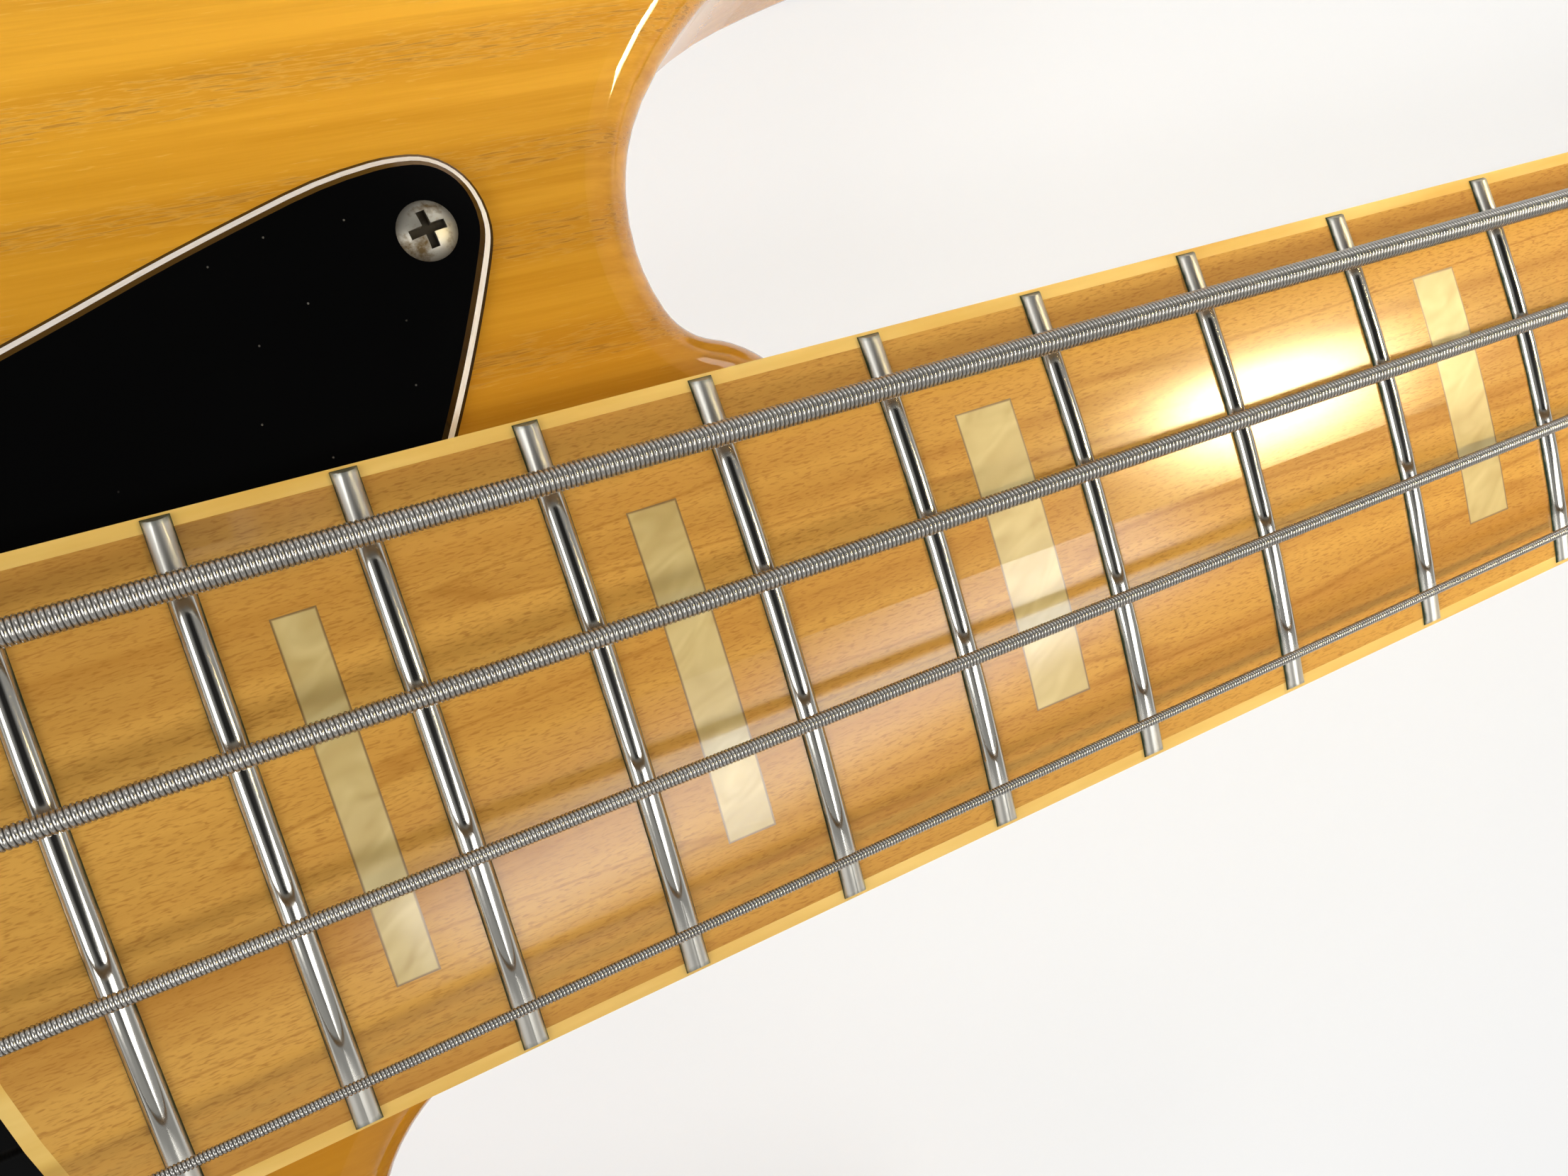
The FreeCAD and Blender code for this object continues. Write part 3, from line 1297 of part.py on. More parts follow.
round_edges(bridge_body, bridge_pad, "sizes.bridge_thick * 0.9", outer_bend)
BRIDGE_SCREWS = [(8.0, -0.36), (8.0, 0.0), (8.0, 0.36), (46.5, -0.42), (46.5, 0.42)]
bridge_hole_sketch = sketch_on(bridge_body, "bridge_screw_holes")
for from_wall, share in BRIDGE_SCREWS:
    sketch_circle(bridge_hole_sketch, f"{rear} + {from_wall}", f"{share} * sizes.bridge_width",
                  "sizes.bridge_screw_dia / 2")
pocket_through(bridge_body, bridge_hole_sketch, reversed_cut=True)
wall_holes = doc.addObject("Part::Feature", "bridge_wall_holes")
wall_bores = []
for number in STRING_NUMBERS:
    start_x = wall_x - 2 * d.bridge_thick
    reach = 3 * d.bridge_thick
    heading = tail_heading(number)
    string_start = anchor_point(number) - heading * d.bridge_thick
    screw_start = Vector(start_x, screw_y(number), saddle_z(number))
    wall_bores.append(Part.makeCylinder(string_radius(number) + d.body_gap, 2 * reach, string_start, heading))
    wall_bores.append(Part.makeCylinder(d.saddle_screw_dia / 2 + d.running_gap, reach, screw_start, X_AXIS))
wall_holes.Shape = Part.makeCompound(wall_bores)
bridge_cut = doc.addObject("Part::Cut", "bridge_plate_cut")
bridge_cut.Base = bridge_body
bridge_cut.Tool = wall_holes
sub_part(bridge_cut, "bridge_plate")

bridge_screw, bridge_screw_whole = screw(d.bridge_screw_dia, d.bridge_screw_head, 1.8, d.bridge_screw_length)
bridge_screws = []
bridge_bores = []
for number, (from_wall, share) in enumerate(BRIDGE_SCREWS):
    x = wall_x - d.bridge_thick + from_wall
    y = share * d.bridge_width
    bridge_screws.append(placed(bridge_screw, x, y, plate_top, turn=24 + 40 * number))
    bridge_bores.append(placed(bridge_screw_whole, x, y, plate_top))
piece("bridge_screws", bridge_screws)


# Coils: a helix as smooth pairs of arcs, a quarter turn at a time
def helix_point(radius, angle, height):
    return Vector(radius * math.cos(angle), radius * math.sin(angle), height)


def helix_heading(radius, angle, climb):
    """Direction of travel on a helix that climbs by a distance in each turn, counter-clockwise."""
    heading = Vector(-math.sin(angle), math.cos(angle), climb / (2 * math.pi * radius))
    return heading / heading.Length


def helix_spans(radius, start_angle, start_height, climb, turns):
    """Arc spans of a helix about Z."""
    spans = []
    quarters = round(4 * turns)
    for quarter in range(quarters):
        first = start_angle + quarter * math.pi / 2
        last = first + math.pi / 2
        start = helix_point(radius, first, start_height + climb * quarter / 4)
        end = helix_point(radius, last, start_height + climb * (quarter + 1) / 4)
        spans += biarc(start, helix_heading(radius, first, climb), end, helix_heading(radius, last, climb))
    return spans


def least_gap(spans, wire_dia, turn_length):
    """Smallest clear distance between the turns of a coil, measured on points along it."""
    points = []
    travelled = 0.0
    for span in spans:
        edge = edge_of(span)
        for share in (0.0, 0.25, 0.5, 0.75):
            points.append((travelled + edge.Length * share, edge.valueAt(
                edge.FirstParameter + (edge.LastParameter - edge.FirstParameter) * share)))
        travelled += edge.Length
    gap = math.inf
    for index, (place_a, point_a) in enumerate(points):
        for place_b, point_b in points[index + 1:]:
            if place_b - place_a > turn_length / 2:
                gap = min(gap, (point_b - point_a).Length - wire_dia)
    return gap


# Saddles: grooved barrels on two height screws, each moved by a long screw against a spring
springs = []
for number in STRING_NUMBERS:
    x = saddle_x(number)
    y = bridge_y(number)
    z = saddle_z(number)
    half = d.saddle_length / 2
    barrel = Part.makeCylinder(d.saddle_dia / 2, d.saddle_length, Vector(x, y - half, z), Y_AXIS)
    groove = Part.makeTorus(wrap_radius(number), string_radius(number) + d.body_gap, Vector(x, y, z), Y_AXIS)
    bore_start = Vector(x - d.saddle_dia, screw_y(number), z)
    long_bore = Part.makeCylinder(d.saddle_screw_dia / 2 + d.running_gap, 2 * d.saddle_dia, bore_start, X_AXIS)
    height_screws = []
    height_bores = []
    stud = d.saddle_height_screw / 2
    stud_top = z + d.saddle_dia / 2 - 0.6
    for side in (1, -1):
        stud_y = y + side * d.saddle_height_side
        height_screws.append(cylinder(stud, plate_top + d.body_gap, stud_top, x, stud_y))
        height_bores.append(cylinder(stud, plate_top, z + d.saddle_dia, x, stud_y))
    barrel = barrel.cut([groove, long_bore] + height_bores)
    piece(f"saddle_{number}", [barrel] + height_screws)
    head_x = wall_x - d.bridge_thick - d.body_gap
    shank_end = bridge_x + d.saddle_dia / 2 + 11.0
    shank = Part.makeCylinder(
        d.saddle_screw_dia / 2, shank_end - head_x, Vector(head_x, screw_y(number), z), X_AXIS)
    pan = screw(d.saddle_screw_dia, d.saddle_screw_head, 1.6, 3.0)[0]
    pan = placed(pan, head_x, screw_y(number), z, X_AXIS * -1)
    piece(f"intonation_screw_{number}", joined([pan, shank]))
    spring_start = wall_x + d.spring_wire / 2 + 0.02
    spring_end = x - math.sqrt((d.saddle_dia / 2) ** 2 - (d.spring_radius - 1) ** 2) - d.spring_wire / 2 - 0.3
    climb = (spring_end - spring_start) / d.spring_turns
    coil_spans = helix_spans(d.spring_radius, 0, 0, climb, d.spring_turns)
    coil = tube([edge_of(span) for span in coil_spans], d.spring_wire / 2)
    springs.append(placed(coil, spring_start, screw_y(number), z, X_AXIS))
    print(f"intonation spring {number}: least gap between turns",
          round(least_gap(coil_spans, d.spring_wire, 2 * math.pi * d.spring_radius), 2), "mm")
piece("intonation_springs", springs)

# Nut with a slot for each string
nut_top_z = crown_z + d.nut_rise
nut = box(nut_x, nut_x + d.nut_thick, -d.nut_width / 2, d.nut_width / 2, board_z, nut_top_z)
nut_arch = Part.makeCylinder(d.board_radius + d.nut_rise, 3 * d.nut_thick,
                             Vector(nut_x - d.nut_thick, 0, crown_z - d.board_radius), X_AXIS)
nut = nut.common(nut_arch)
nut_edges = [e for e in nut.Edges if e.BoundBox.ZMin > crown_z - 1 and e.BoundBox.YLength > d.nut_width / 2]
nut = nut.makeFillet(1.0, nut_edges)

# Tuners stand in a row; the string runs straight on from the nut to the near side of its post
slope_y = [(string_y(n, nut_x) - string_y(n, bridge_x)) / d.scale_length for n in STRING_NUMBERS]


def post_x(number):
    return nut_x + d.post_first + d.post_pitch * (number - 1)


def wind_radius(number):
    """Radius of a string's centre line as it winds round its post."""
    return d.post_dia / 2 + d.wind_gap + string_radius(number)


def post_centre(number):
    lean = math.atan(slope_y[number - 1])
    radius = wind_radius(number)
    return Vector(post_x(number) - radius * math.sin(lean),
                  string_y(number, post_x(number)) + radius * math.cos(lean), head_z)


flange_low = head_z + d.ferrule_flange_thick + d.body_gap
flange_top = flange_low + d.post_flange_thick
retainer_at = nut_x + d.retainer_x
RETAINED = (3, 4)
retained_z = head_z + d.retainer_rise
RETAINER_BEND = 12.0
retainer_half = d.retainer_dia / 2 + 0.5


def wind_climb(number):
    return 2 * string_radius(number) + d.wind_pitch_gap


def wind_start_z(number):
    """Height where the string meets its post; it winds down from there to just over the flange."""
    return flange_top + d.body_gap + string_radius(number) + d.wind_turns * wind_climb(number)


def rounded_route(points, radii):
    """Spans of straight runs through points, with an arc of the given radius at each inner point."""
    spans = []
    start = points[0]
    for index, radius in enumerate(radii, 1):
        corner = points[index]
        before = (corner - points[index - 1]).normalize()
        after = (points[index + 1] - corner).normalize()
        turn = math.acos(max(-1.0, min(1.0, before.dot(after))))
        reach = radius * math.tan(turn / 2)
        enter = corner - before * reach
        leave = corner + after * reach
        spans.append((start, (start + enter) * 0.5, enter))
        spans.append(arc_span(enter, before, leave))
        start = leave
    spans.append((start, (start + points[-1]) * 0.5, points[-1]))
    return spans


NUT_BEND = 14.0
NUT_CROWN = 1.2


def string_route(number):
    """Spans of a string from its ball end over saddle and nut to the turns on its post."""
    radius = string_radius(number)
    anchor = anchor_point(number)
    heading = tail_heading(number)
    tail_rise = heading.z / heading.x
    crest_x = saddle_x(number)
    crest_z = string_z(number, crest_x)
    crown_x = nut_x + NUT_CROWN
    nut_point = Vector(crown_x, string_y(number, crown_x), string_z(number, nut_x))
    front_rise = (nut_point.z - crest_z) / (nut_point.x - crest_x)
    bend_x = (crest_z - anchor.z - front_rise * crest_x + tail_rise * anchor.x) / (tail_rise - front_rise)
    bend = Vector(bend_x, anchor.y, anchor.z + tail_rise * (bend_x - anchor.x))
    meet = Vector(post_x(number), string_y(number, post_x(number)), wind_start_z(number))
    points = [anchor, bend, nut_point]
    radii = [wrap_radius(number), NUT_BEND]
    if number in RETAINED:
        for x in (retainer_at - retainer_half, retainer_at + retainer_half):
            points.append(Vector(x, string_y(number, x), retained_z - radius))
            radii.append(RETAINER_BEND)
    points.append(meet)
    spans = rounded_route(points, radii)
    centre = post_centre(number)
    arrive = (points[-1] - points[-2]).normalize()
    first_angle = math.atan2(meet.y - centre.y, meet.x - centre.x)
    climb = -wind_climb(number)
    wind = wind_radius(number)
    quarter = first_angle + math.pi / 2
    down = Vector(centre.x, centre.y, meet.z)
    first_quarter = down + helix_point(wind, quarter, climb / 4)
    spans += biarc(meet, arrive, first_quarter, helix_heading(wind, quarter, climb))
    turns = d.wind_turns - 0.25
    coil_spans = helix_spans(wind, quarter, climb / 4, climb, turns)
    spans += [tuple(point + down for point in span) for span in coil_spans]
    last = quarter + 2 * math.pi * turns
    end = down + helix_point(wind, last, climb / 4 + climb * turns)
    leave = helix_heading(wind, last, climb)
    tail = end + leave * (2 * radius)
    spans.append((end, (end + tail) * 0.5, tail))
    print(f"string {number}: least gap between turns on the post",
          round(least_gap(coil_spans, 2 * radius, 2 * math.pi * wind), 2), "mm")
    return spans


STRING_NAMES = ("string_e", "string_a", "string_d", "string_g")
BALL_RADIUS = 2.6
BALL_LENGTH = 5.0
SLOT_PLAY = 0.05
SLOT_FALL = 0.14
nut_slots = []
for number, name in zip(STRING_NUMBERS, STRING_NAMES):
    spans = string_route(number)
    edges = [edge_of(span) for span in spans]
    radius = string_radius(number)
    wire = tube(edges, radius)
    length = sum(edge.Length for edge in edges)
    drawn = wire.Volume / (math.pi * radius ** 2)
    print(f"{name}: length {length:.1f} mm, volume over section {drawn:.1f} mm")
    back = edges[0].valueAt(edges[0].FirstParameter)
    ball_start = Vector(back.x - BALL_RADIUS, back.y - BALL_LENGTH / 2, back.z)
    ball = Part.makeCylinder(BALL_RADIUS, BALL_LENGTH, ball_start, Y_AXIS)
    piece(name, [wire.cut(ball), ball])
    slot_half = radius + SLOT_PLAY
    slot_low = string_z(number, nut_x) - radius
    fall = slot_low - SLOT_FALL * d.nut_thick
    corners = [(nut_x - 1, slot_low), (nut_x + 1.0, slot_low), (nut_x + d.nut_thick + 1, fall),
               (nut_x + d.nut_thick + 1, nut_top_z + 1), (nut_x - 1, nut_top_z + 1)]
    points = [Vector(x, string_y(number, nut_x) - slot_half, z) for x, z in corners]
    nut_slots.append(Part.Face(Part.makePolygon(points + points[:1])).extrude(Vector(0, 2 * slot_half, 0)))
piece("nut", nut.cut(nut_slots))

# Retainer: a disc on a stem that holds the two thin strings down behind the nut
RETAINER_LIFT = 0.05
RETAINER_EDGE = 0.9
RETAINER_STEM = 2.4
RETAINER_SCREW_HEAD = 5.2
RETAINER_SCREW_DOME = 1.1
RETAINER_SCREW_BITE = 10.0
retainer_y = (string_y(3, retainer_at) + string_y(4, retainer_at)) / 2
retainer_top = retained_z + d.retainer_thick
disc = cylinder(d.retainer_dia / 2, retained_z + RETAINER_LIFT, retainer_top, retainer_at, retainer_y)
disc = disc.makeFillet(RETAINER_EDGE, [e for e in disc.Edges if abs(e.BoundBox.ZMin - retainer_top) < 1e-6])
stem = cylinder(RETAINER_STEM, head_z, retained_z + 1, retainer_at, retainer_y)
retainer_screw_length = retainer_top - head_z + RETAINER_SCREW_BITE
retainer_screw, retainer_screw_whole = screw(
    d.retainer_screw_dia, RETAINER_SCREW_HEAD, RETAINER_SCREW_DOME, retainer_screw_length)
retainer_seat = (retainer_at, retainer_y, retainer_top)
retainer_bore = placed(retainer_screw_whole, *retainer_seat)
retainer = joined([disc, stem]).cut(retainer_bore)
piece("string_retainer", [retainer, placed(retainer_screw, *retainer_seat, turn=33)])
neck = neck.cut(retainer_bore)

# Tuners: a post with a gear turns in a ferrule and a base plate, driven by the worm on its key
gear_radius = d.gear_module * d.gear_teeth / 2
worm_pitch = math.pi * d.gear_module
tooth_half = d.worm_tooth_share * worm_pitch / 2
FLANK = math.tan(math.radians(14.5))
ROOT_GAP = 0.3
THREAD_SINK = 0.3
gear_tip = gear_radius + d.gear_addendum
worm_tip = d.worm_radius + d.gear_addendum
gear_root = gear_radius + d.worm_radius - worm_tip - ROOT_GAP
worm_root = gear_radius + d.worm_radius - gear_tip - ROOT_GAP
worm_z = head_back_z - d.worm_drop
gear_low = worm_z - d.gear_thick / 2
gear_high = worm_z + d.gear_thick / 2
tuner_plate_low = head_back_z - d.tuner_plate_thick
post_base = d.post_base_dia / 2
key_radius = d.key_shaft_dia / 2


def gear_ring(level, turn):
    """Outline of the gear at a height, turned a little so that its teeth lean with the worm's thread."""
    points = []
    for tooth in range(int(d.gear_teeth)):
        middle = 2 * math.pi * tooth / d.gear_teeth + turn
        root_angle = (tooth_half + (gear_radius - gear_root) * FLANK) / gear_radius
        tip_angle = (tooth_half - d.gear_addendum * FLANK) / gear_radius
        for radius, angle in ((gear_root, -root_angle), (gear_tip, -tip_angle),
                              (gear_tip, tip_angle), (gear_root, root_angle)):
            points.append(helix_point(radius, middle + angle, level))
    return Part.makePolygon(points + points[:1])


def gear():
    lean = worm_pitch / (2 * math.pi * d.worm_radius) * d.gear_thick / 2 / gear_radius
    return Part.makeLoft([gear_ring(gear_low, -lean), gear_ring(gear_high, lean)], True, True)


def worm():
    """Threaded length of a key along Z, centred, with a gap of the thread facing X at the middle."""
    turns = math.floor(d.worm_length / worm_pitch - 1)
    start = -worm_pitch * turns / 2
    if turns % 2 == 0:
        start -= worm_pitch / 2
        turns += 1
    path = Part.makeHelix(worm_pitch, worm_pitch * turns, d.worm_radius)
    root_half = tooth_half + (d.worm_radius - worm_root + THREAD_SINK) * FLANK
    tip_half = tooth_half - d.gear_addendum * FLANK
    corners = [Vector(worm_root - THREAD_SINK, 0, -root_half), Vector(worm_tip, 0, -tip_half),
               Vector(worm_tip, 0, tip_half), Vector(worm_root - THREAD_SINK, 0, root_half)]
    thread = Part.Wire(path.Edges).makePipeShell([Part.makePolygon(corners + corners[:1])], True, True)
    thread.translate(Vector(0, 0, start))
    core = cylinder(worm_root, -d.worm_length / 2, d.worm_length / 2)
    return core.fuse(thread)


PADDLE_SHOULDER = 0.6
PADDLE_LAP = 4.0
PADDLE_ROUND = 0.3


def key(centre):
    """Key with its shaft and worm along Y, beside the post at centre."""
    x = centre.x + gear_radius + d.worm_radius
    tail_y = centre.y - d.worm_length / 2 - d.worm_end_gap - d.tuner_ear
    paddle_y = centre.y + d.key_reach
    half = d.key_paddle_width / 2
    root = key_radius + PADDLE_SHOULDER
    length = d.key_paddle_length
    paddle_nodes = [
        (root, 0, 30), (half, length / 2, 90), (0, length, 180), (-half, length / 2, 270), (-root, 0, 330)]
    paddle = slab(spans_through(paddle_nodes), -d.key_paddle_thick / 2, d.key_paddle_thick / 2)
    rims = [e for e in paddle.Edges if not upright(e)]
    paddle = paddle.makeFillet(d.key_paddle_thick * PADDLE_ROUND, rims)
    paddle.translate(Vector(x, paddle_y, worm_z))
    tail = Part.makeCylinder(worm_root, d.worm_end_gap + d.tuner_ear, Vector(x, tail_y, worm_z), Y_AXIS)
    front_y = centre.y + d.worm_length / 2
    stem = Part.makeCylinder(key_radius, paddle_y + PADDLE_LAP - front_y, Vector(x, front_y, worm_z), Y_AXIS)
    facing_post = FreeCAD.Matrix(-1, 0, 0, x, 0, 0, 1, centre.y, 0, 1, 0, worm_z, 0, 0, 0, 1)
    return joined([worm().transformed(facing_post), tail, stem, paddle])


TUNER_SCREW_DOME = 1.3
TUNER_SCREW_INSET = 4.0
TUNER_CORNER = 4.0
EAR_HALF = 5.0
EAR_LAP = 0.5
GEAR_SCREW_DIA = 2.6
GEAR_SCREW_HEAD = 6.0
GEAR_SCREW_DOME = 1.4
GEAR_SCREW_LENGTH = 7.0
POST_EDGE = 0.6
POST_LIP = 0.3
POST_SLOT_DEPTH = 5.0
POST_WELL_DEPTH = 10.0
HEAD_BORE_PLAY = 0.6
FERRULE_EDGE = 0.6
FERRULE_SLOPE = 1.4
tuner_screw, tuner_screw_whole = screw(
    d.tuner_screw_dia, d.tuner_screw_head, TUNER_SCREW_DOME, d.tuner_screw_length)
gear_screw, gear_screw_whole = screw(GEAR_SCREW_DIA, GEAR_SCREW_HEAD, GEAR_SCREW_DOME, GEAR_SCREW_LENGTH)
tuner_plates = []
tuner_ferrules = []
tuner_screws = []
head_bores = []
DOWN = Vector(0, 0, -1)
for number, name in zip(STRING_NUMBERS, "eadg"):
    centre = post_centre(number)
    worm_x = centre.x + gear_radius + d.worm_radius
    plate_left = centre.x - d.tuner_plate_back
    plate_right = plate_left + d.tuner_plate_length
    plate_foot = centre.y - d.tuner_plate_below
    plate_head = plate_foot + d.tuner_plate_width
    base = box(plate_left, plate_right, plate_foot, plate_head, tuner_plate_low, head_back_z)
    base = base.makeFillet(TUNER_CORNER, [e for e in base.Edges if upright(e)])
    near = centre.y - d.worm_length / 2 - d.worm_end_gap - d.tuner_ear
    far = centre.y + d.worm_length / 2 + d.worm_end_gap
    ears_of_plate = []
    for ear_y, hole in ((near, worm_root), (far, key_radius)):
        ear_low = worm_z - EAR_HALF
        ear_high = tuner_plate_low + EAR_LAP
        ear = box(worm_x - EAR_HALF, worm_x + EAR_HALF, ear_y, ear_y + d.tuner_ear, ear_low, ear_high)
        pin_start = Vector(worm_x, ear_y - 1, worm_z)
        pin = Part.makeCylinder(hole + d.running_gap, d.tuner_ear + 2, pin_start, Y_AXIS)
        ears_of_plate.append(ear.cut(pin))
    base = joined([base] + ears_of_plate).cut(
        cylinder(post_base + d.post_play, tuner_plate_low - 1, head_back_z + 1, centre.x, centre.y))
    bores = []
    for x in (plate_left + TUNER_SCREW_INSET, plate_right - TUNER_SCREW_INSET):
        for y in (plate_foot + TUNER_SCREW_INSET, plate_head - TUNER_SCREW_INSET):
            tuner_screws.append(placed(tuner_screw, x, y, tuner_plate_low, DOWN, 17 * (x + y)))
            bores.append(placed(tuner_screw_whole, x, y, tuner_plate_low, DOWN))
    tuner_plates.append(base.cut(bores))
    head_bores += bores
    sleeve_low = head_z - d.ferrule_depth
    flange_rim = d.ferrule_flange / 2
    bush = turned([
        (post_base + d.post_play, sleeve_low), (d.ferrule_dia / 2, sleeve_low), (d.ferrule_dia / 2, head_z),
        (flange_rim, head_z), (flange_rim, head_z + FERRULE_EDGE),
        (flange_rim - FERRULE_SLOPE, head_z + d.ferrule_flange_thick),
        (post_base + d.post_play, head_z + d.ferrule_flange_thick),
    ], Vector(centre.x, centre.y, 0))
    tuner_ferrules.append(bush)
    head_bores.append(cylinder(d.ferrule_dia / 2, sleeve_low, board_z + 1, centre.x, centre.y))
    post_room = post_base + HEAD_BORE_PLAY
    head_bores.append(cylinder(post_room, head_back_z - 1, sleeve_low + 1, centre.x, centre.y))
    top_z = head_z + d.post_rise
    waist = d.post_dia / 2
    stem = turned([
        (0, gear_low), (post_base, gear_low), (post_base, flange_low), (d.post_flange / 2, flange_low),
        (d.post_flange / 2, flange_top - POST_EDGE), (d.post_flange / 2 - POST_EDGE, flange_top),
        (waist, flange_top),
        (waist, top_z - 2 * POST_EDGE - POST_LIP), (waist + POST_LIP, top_z - 2 * POST_EDGE),
        (waist - POST_EDGE, top_z), (0, top_z),
    ])
    slot = box(-d.post_dia, d.post_dia, -d.post_slot / 2, d.post_slot / 2, top_z - POST_SLOT_DEPTH, top_z + 1)
    well = cylinder(d.post_slot / 2 + POST_LIP, top_z - POST_WELL_DEPTH, top_z + 1)
    gear_bore = placed(gear_screw_whole, 0, 0, gear_low, DOWN)
    slot = slot.rotated(Vector(0, 0, 0), Z_AXIS, 25 + 30 * number)
    post = joined([gear(), stem]).cut([slot, well, gear_bore])
    post.translate(Vector(centre.x, centre.y, 0))
    piece(f"tuner_post_{name}", [post, placed(gear_screw, centre.x, centre.y, gear_low, DOWN, 40 * number)])
    piece(f"tuner_key_{name}", key(centre))
piece("tuner_plates", tuner_plates)
piece("tuner_plate_screws", tuner_screws)
piece("tuner_ferrules", tuner_ferrules)
piece("neck", neck.cut(head_bores))

# Strap buttons at the tail and on the long horn, with their screws
BUTTON_EDGE = 0.8
BUTTON_FOOT = 1.4
BUTTON_WAIST = 3.2
STRAP_SCREW_HEAD = 7.4
STRAP_SCREW_DOME = 1.2
STRAP_SCREW_CROSS = 1.8
button_rim = d.strap_button_dia / 2
button_neck = d.strap_button_neck / 2
button = turned([
    (0, 0), (button_rim - BUTTON_EDGE, 0),
    (button_rim - BUTTON_EDGE, BUTTON_FOOT), (button_neck, BUTTON_WAIST),
    (button_neck, 0.64 * d.strap_button_height), (button_rim, 0.85 * d.strap_button_height),
    (button_rim, 0.94 * d.strap_button_height), (button_rim - BUTTON_EDGE, d.strap_button_height),
    (0, d.strap_button_height),
])
strap_screw, strap_screw_whole = screw(
    d.strap_screw_dia, STRAP_SCREW_HEAD, STRAP_SCREW_DOME, d.strap_button_height + d.strap_screw_length,
    STRAP_SCREW_CROSS)
strap_screw_whole.translate(Vector(0, 0, d.strap_button_height))
strap_screw.translate(Vector(0, 0, d.strap_button_height))
button = button.cut(strap_screw_whole)
STRAP_SEATS = [((0, 0, 0), X_AXIS * -1), ((low_horn_x, d.low_horn_y, 0), X_AXIS)]


def seated(shape, seat, axis):
    """Copy of a shape drawn along Z, turned to an axis and moved to a seat."""
    copy = shape.copy()
    copy.Placement = Placement(Vector(*seat), Rotation(Z_AXIS, axis)).multiply(copy.Placement)
    return copy


strap_parts = []
strap_bores = []
for seat, axis in STRAP_SEATS:
    strap_parts += [seated(button, seat, axis), seated(strap_screw, seat, axis)]
    strap_bores.append(seated(strap_screw_whole, seat, axis))
piece("strap_buttons", strap_parts)


# Body: rounded slab with two comfort contours, the neck pocket, the cavities and every screw's bore
def forearm_contour():
    """What the forearm contour clears: from a start line the face falls away on a large radius."""
    radius = d.forearm_drop_radius
    swing = math.asin(min(0.85, d.low_bout_y / radius))

    def fall(angle):
        return Vector(radius * math.sin(angle), 0, face_z - radius * (1 - math.cos(angle)))

    edges = [Part.Arc(fall(0), fall(swing / 2), fall(swing)).toShape()]
    above = Vector(0, 0, face_z + d.body_thick)
    outer = Vector(fall(swing).x, 0, above.z)
    edges += lines_through([fall(swing), outer, above, fall(0)])
    face = Part.Face(Part.Wire(edges))
    face.translate(Vector(0, -d.forearm_length / 2, 0))
    solid = face.extrude(Vector(0, d.forearm_length, 0))
    solid.Placement = Placement(Vector(d.forearm_x, d.forearm_y, 0), Rotation(Z_AXIS, d.forearm_heading))
    return solid


def scoop():
    """What the belly contour clears: a large cylinder that rises into the back towards the low-string waist."""
    out = heading_vector(d.belly_heading)
    lean = math.radians(d.belly_tilt)
    axis = out * math.cos(lean) + Z_AXIS * math.sin(lean)
    away = out * math.sin(lean) - Z_AXIS * math.cos(lean)
    begin = Vector(d.belly_x, d.belly_y, -face_z) + away * d.belly_scoop_radius
    return Part.makeCylinder(d.belly_scoop_radius, d.low_bout_y, begin, axis)


def crest(shape):
    """Edges where the belly contour meets the upright side wall."""
    chosen = []
    for edge in shape.Edges:
        surfaces = [face.Surface for face in shape.ancestorsOfType(edge, Part.Face)]
        walls = [surface for surface in surfaces if isinstance(surface, Part.Cylinder)]
        scooped = [w for w in walls if abs(w.Radius - d.belly_scoop_radius) < 1e-6]
        standing = [w for w in walls if abs(w.Axis.z) > 0.999]
        if scooped and standing:
            chosen.append(edge)
    return chosen


def rim(shape):
    """Edges between the side walls and the face or back, which are rounded over."""
    chosen = []
    for edge in shape.Edges:
        middle = edge.valueAt((edge.FirstParameter + edge.LastParameter) / 2)
        walls = []
        for face in shape.ancestorsOfType(edge, Part.Face):
            walls.append(abs(face.normalAt(*face.Surface.parameter(middle)).z) < 1e-3)
        if any(walls) and not all(walls):
            chosen.append(edge)
    return chosen


POCKET_RUN = 40.0
SCREW_PLAY = 0.3
body = slab(body_spans, -face_z, face_z)
body = body.cut(forearm_contour())
body = body.makeFillet(d.edge_round, rim(body)).cut(scoop())
body = body.makeFillet(d.belly_crest_round, crest(body))
neck_pocket = neck_slab(heel_front_x + 2 * d.edge_round + POCKET_RUN, pocket_z, crown_z, -d.pocket_gap)
control_room = on_controls(stadium(d.control_cavity_length, d.control_cavity_width, -d.control_cavity_depth, 1))
clearance = d.neck_screw_dia / 2 + SCREW_PLAY
screw_ways = []
for sx, sy in plate_holes:
    x = plate_x + sx * d.plate_screw_x / 2
    screw_ways.append(cylinder(clearance, -face_z - 1, pocket_z + 1, x, sy * d.plate_screw_y / 2))
body = body.cut([neck_pocket, control_room] + screw_ways + pickup_cavities + lead_bores)
body = body.cut(cover_screw_bores + bridge_bores + strap_bores)
piece("body", body)

# Nothing is written unless every object and every piece is sound
doc.recompute()
for obj in doc.Objects:
    if "Invalid" in obj.State or "Error" in obj.State:
        raise RuntimeError(f"{obj.Label} did not recompute: {obj.State}")
for obj in PIECES:
    if obj.Shape.isNull() or not obj.Shape.isValid() or not obj.Shape.Solids:
        raise RuntimeError(f"{obj.Label} has no sound solid")
os.makedirs("parts", exist_ok=True)
for obj in PIECES:
    obj.Shape.exportStep(f"parts/{obj.Label}.step")
print(len(PIECES), "pieces written")
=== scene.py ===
import math

import bpy
import numpy as np
from mathutils import Matrix, Vector


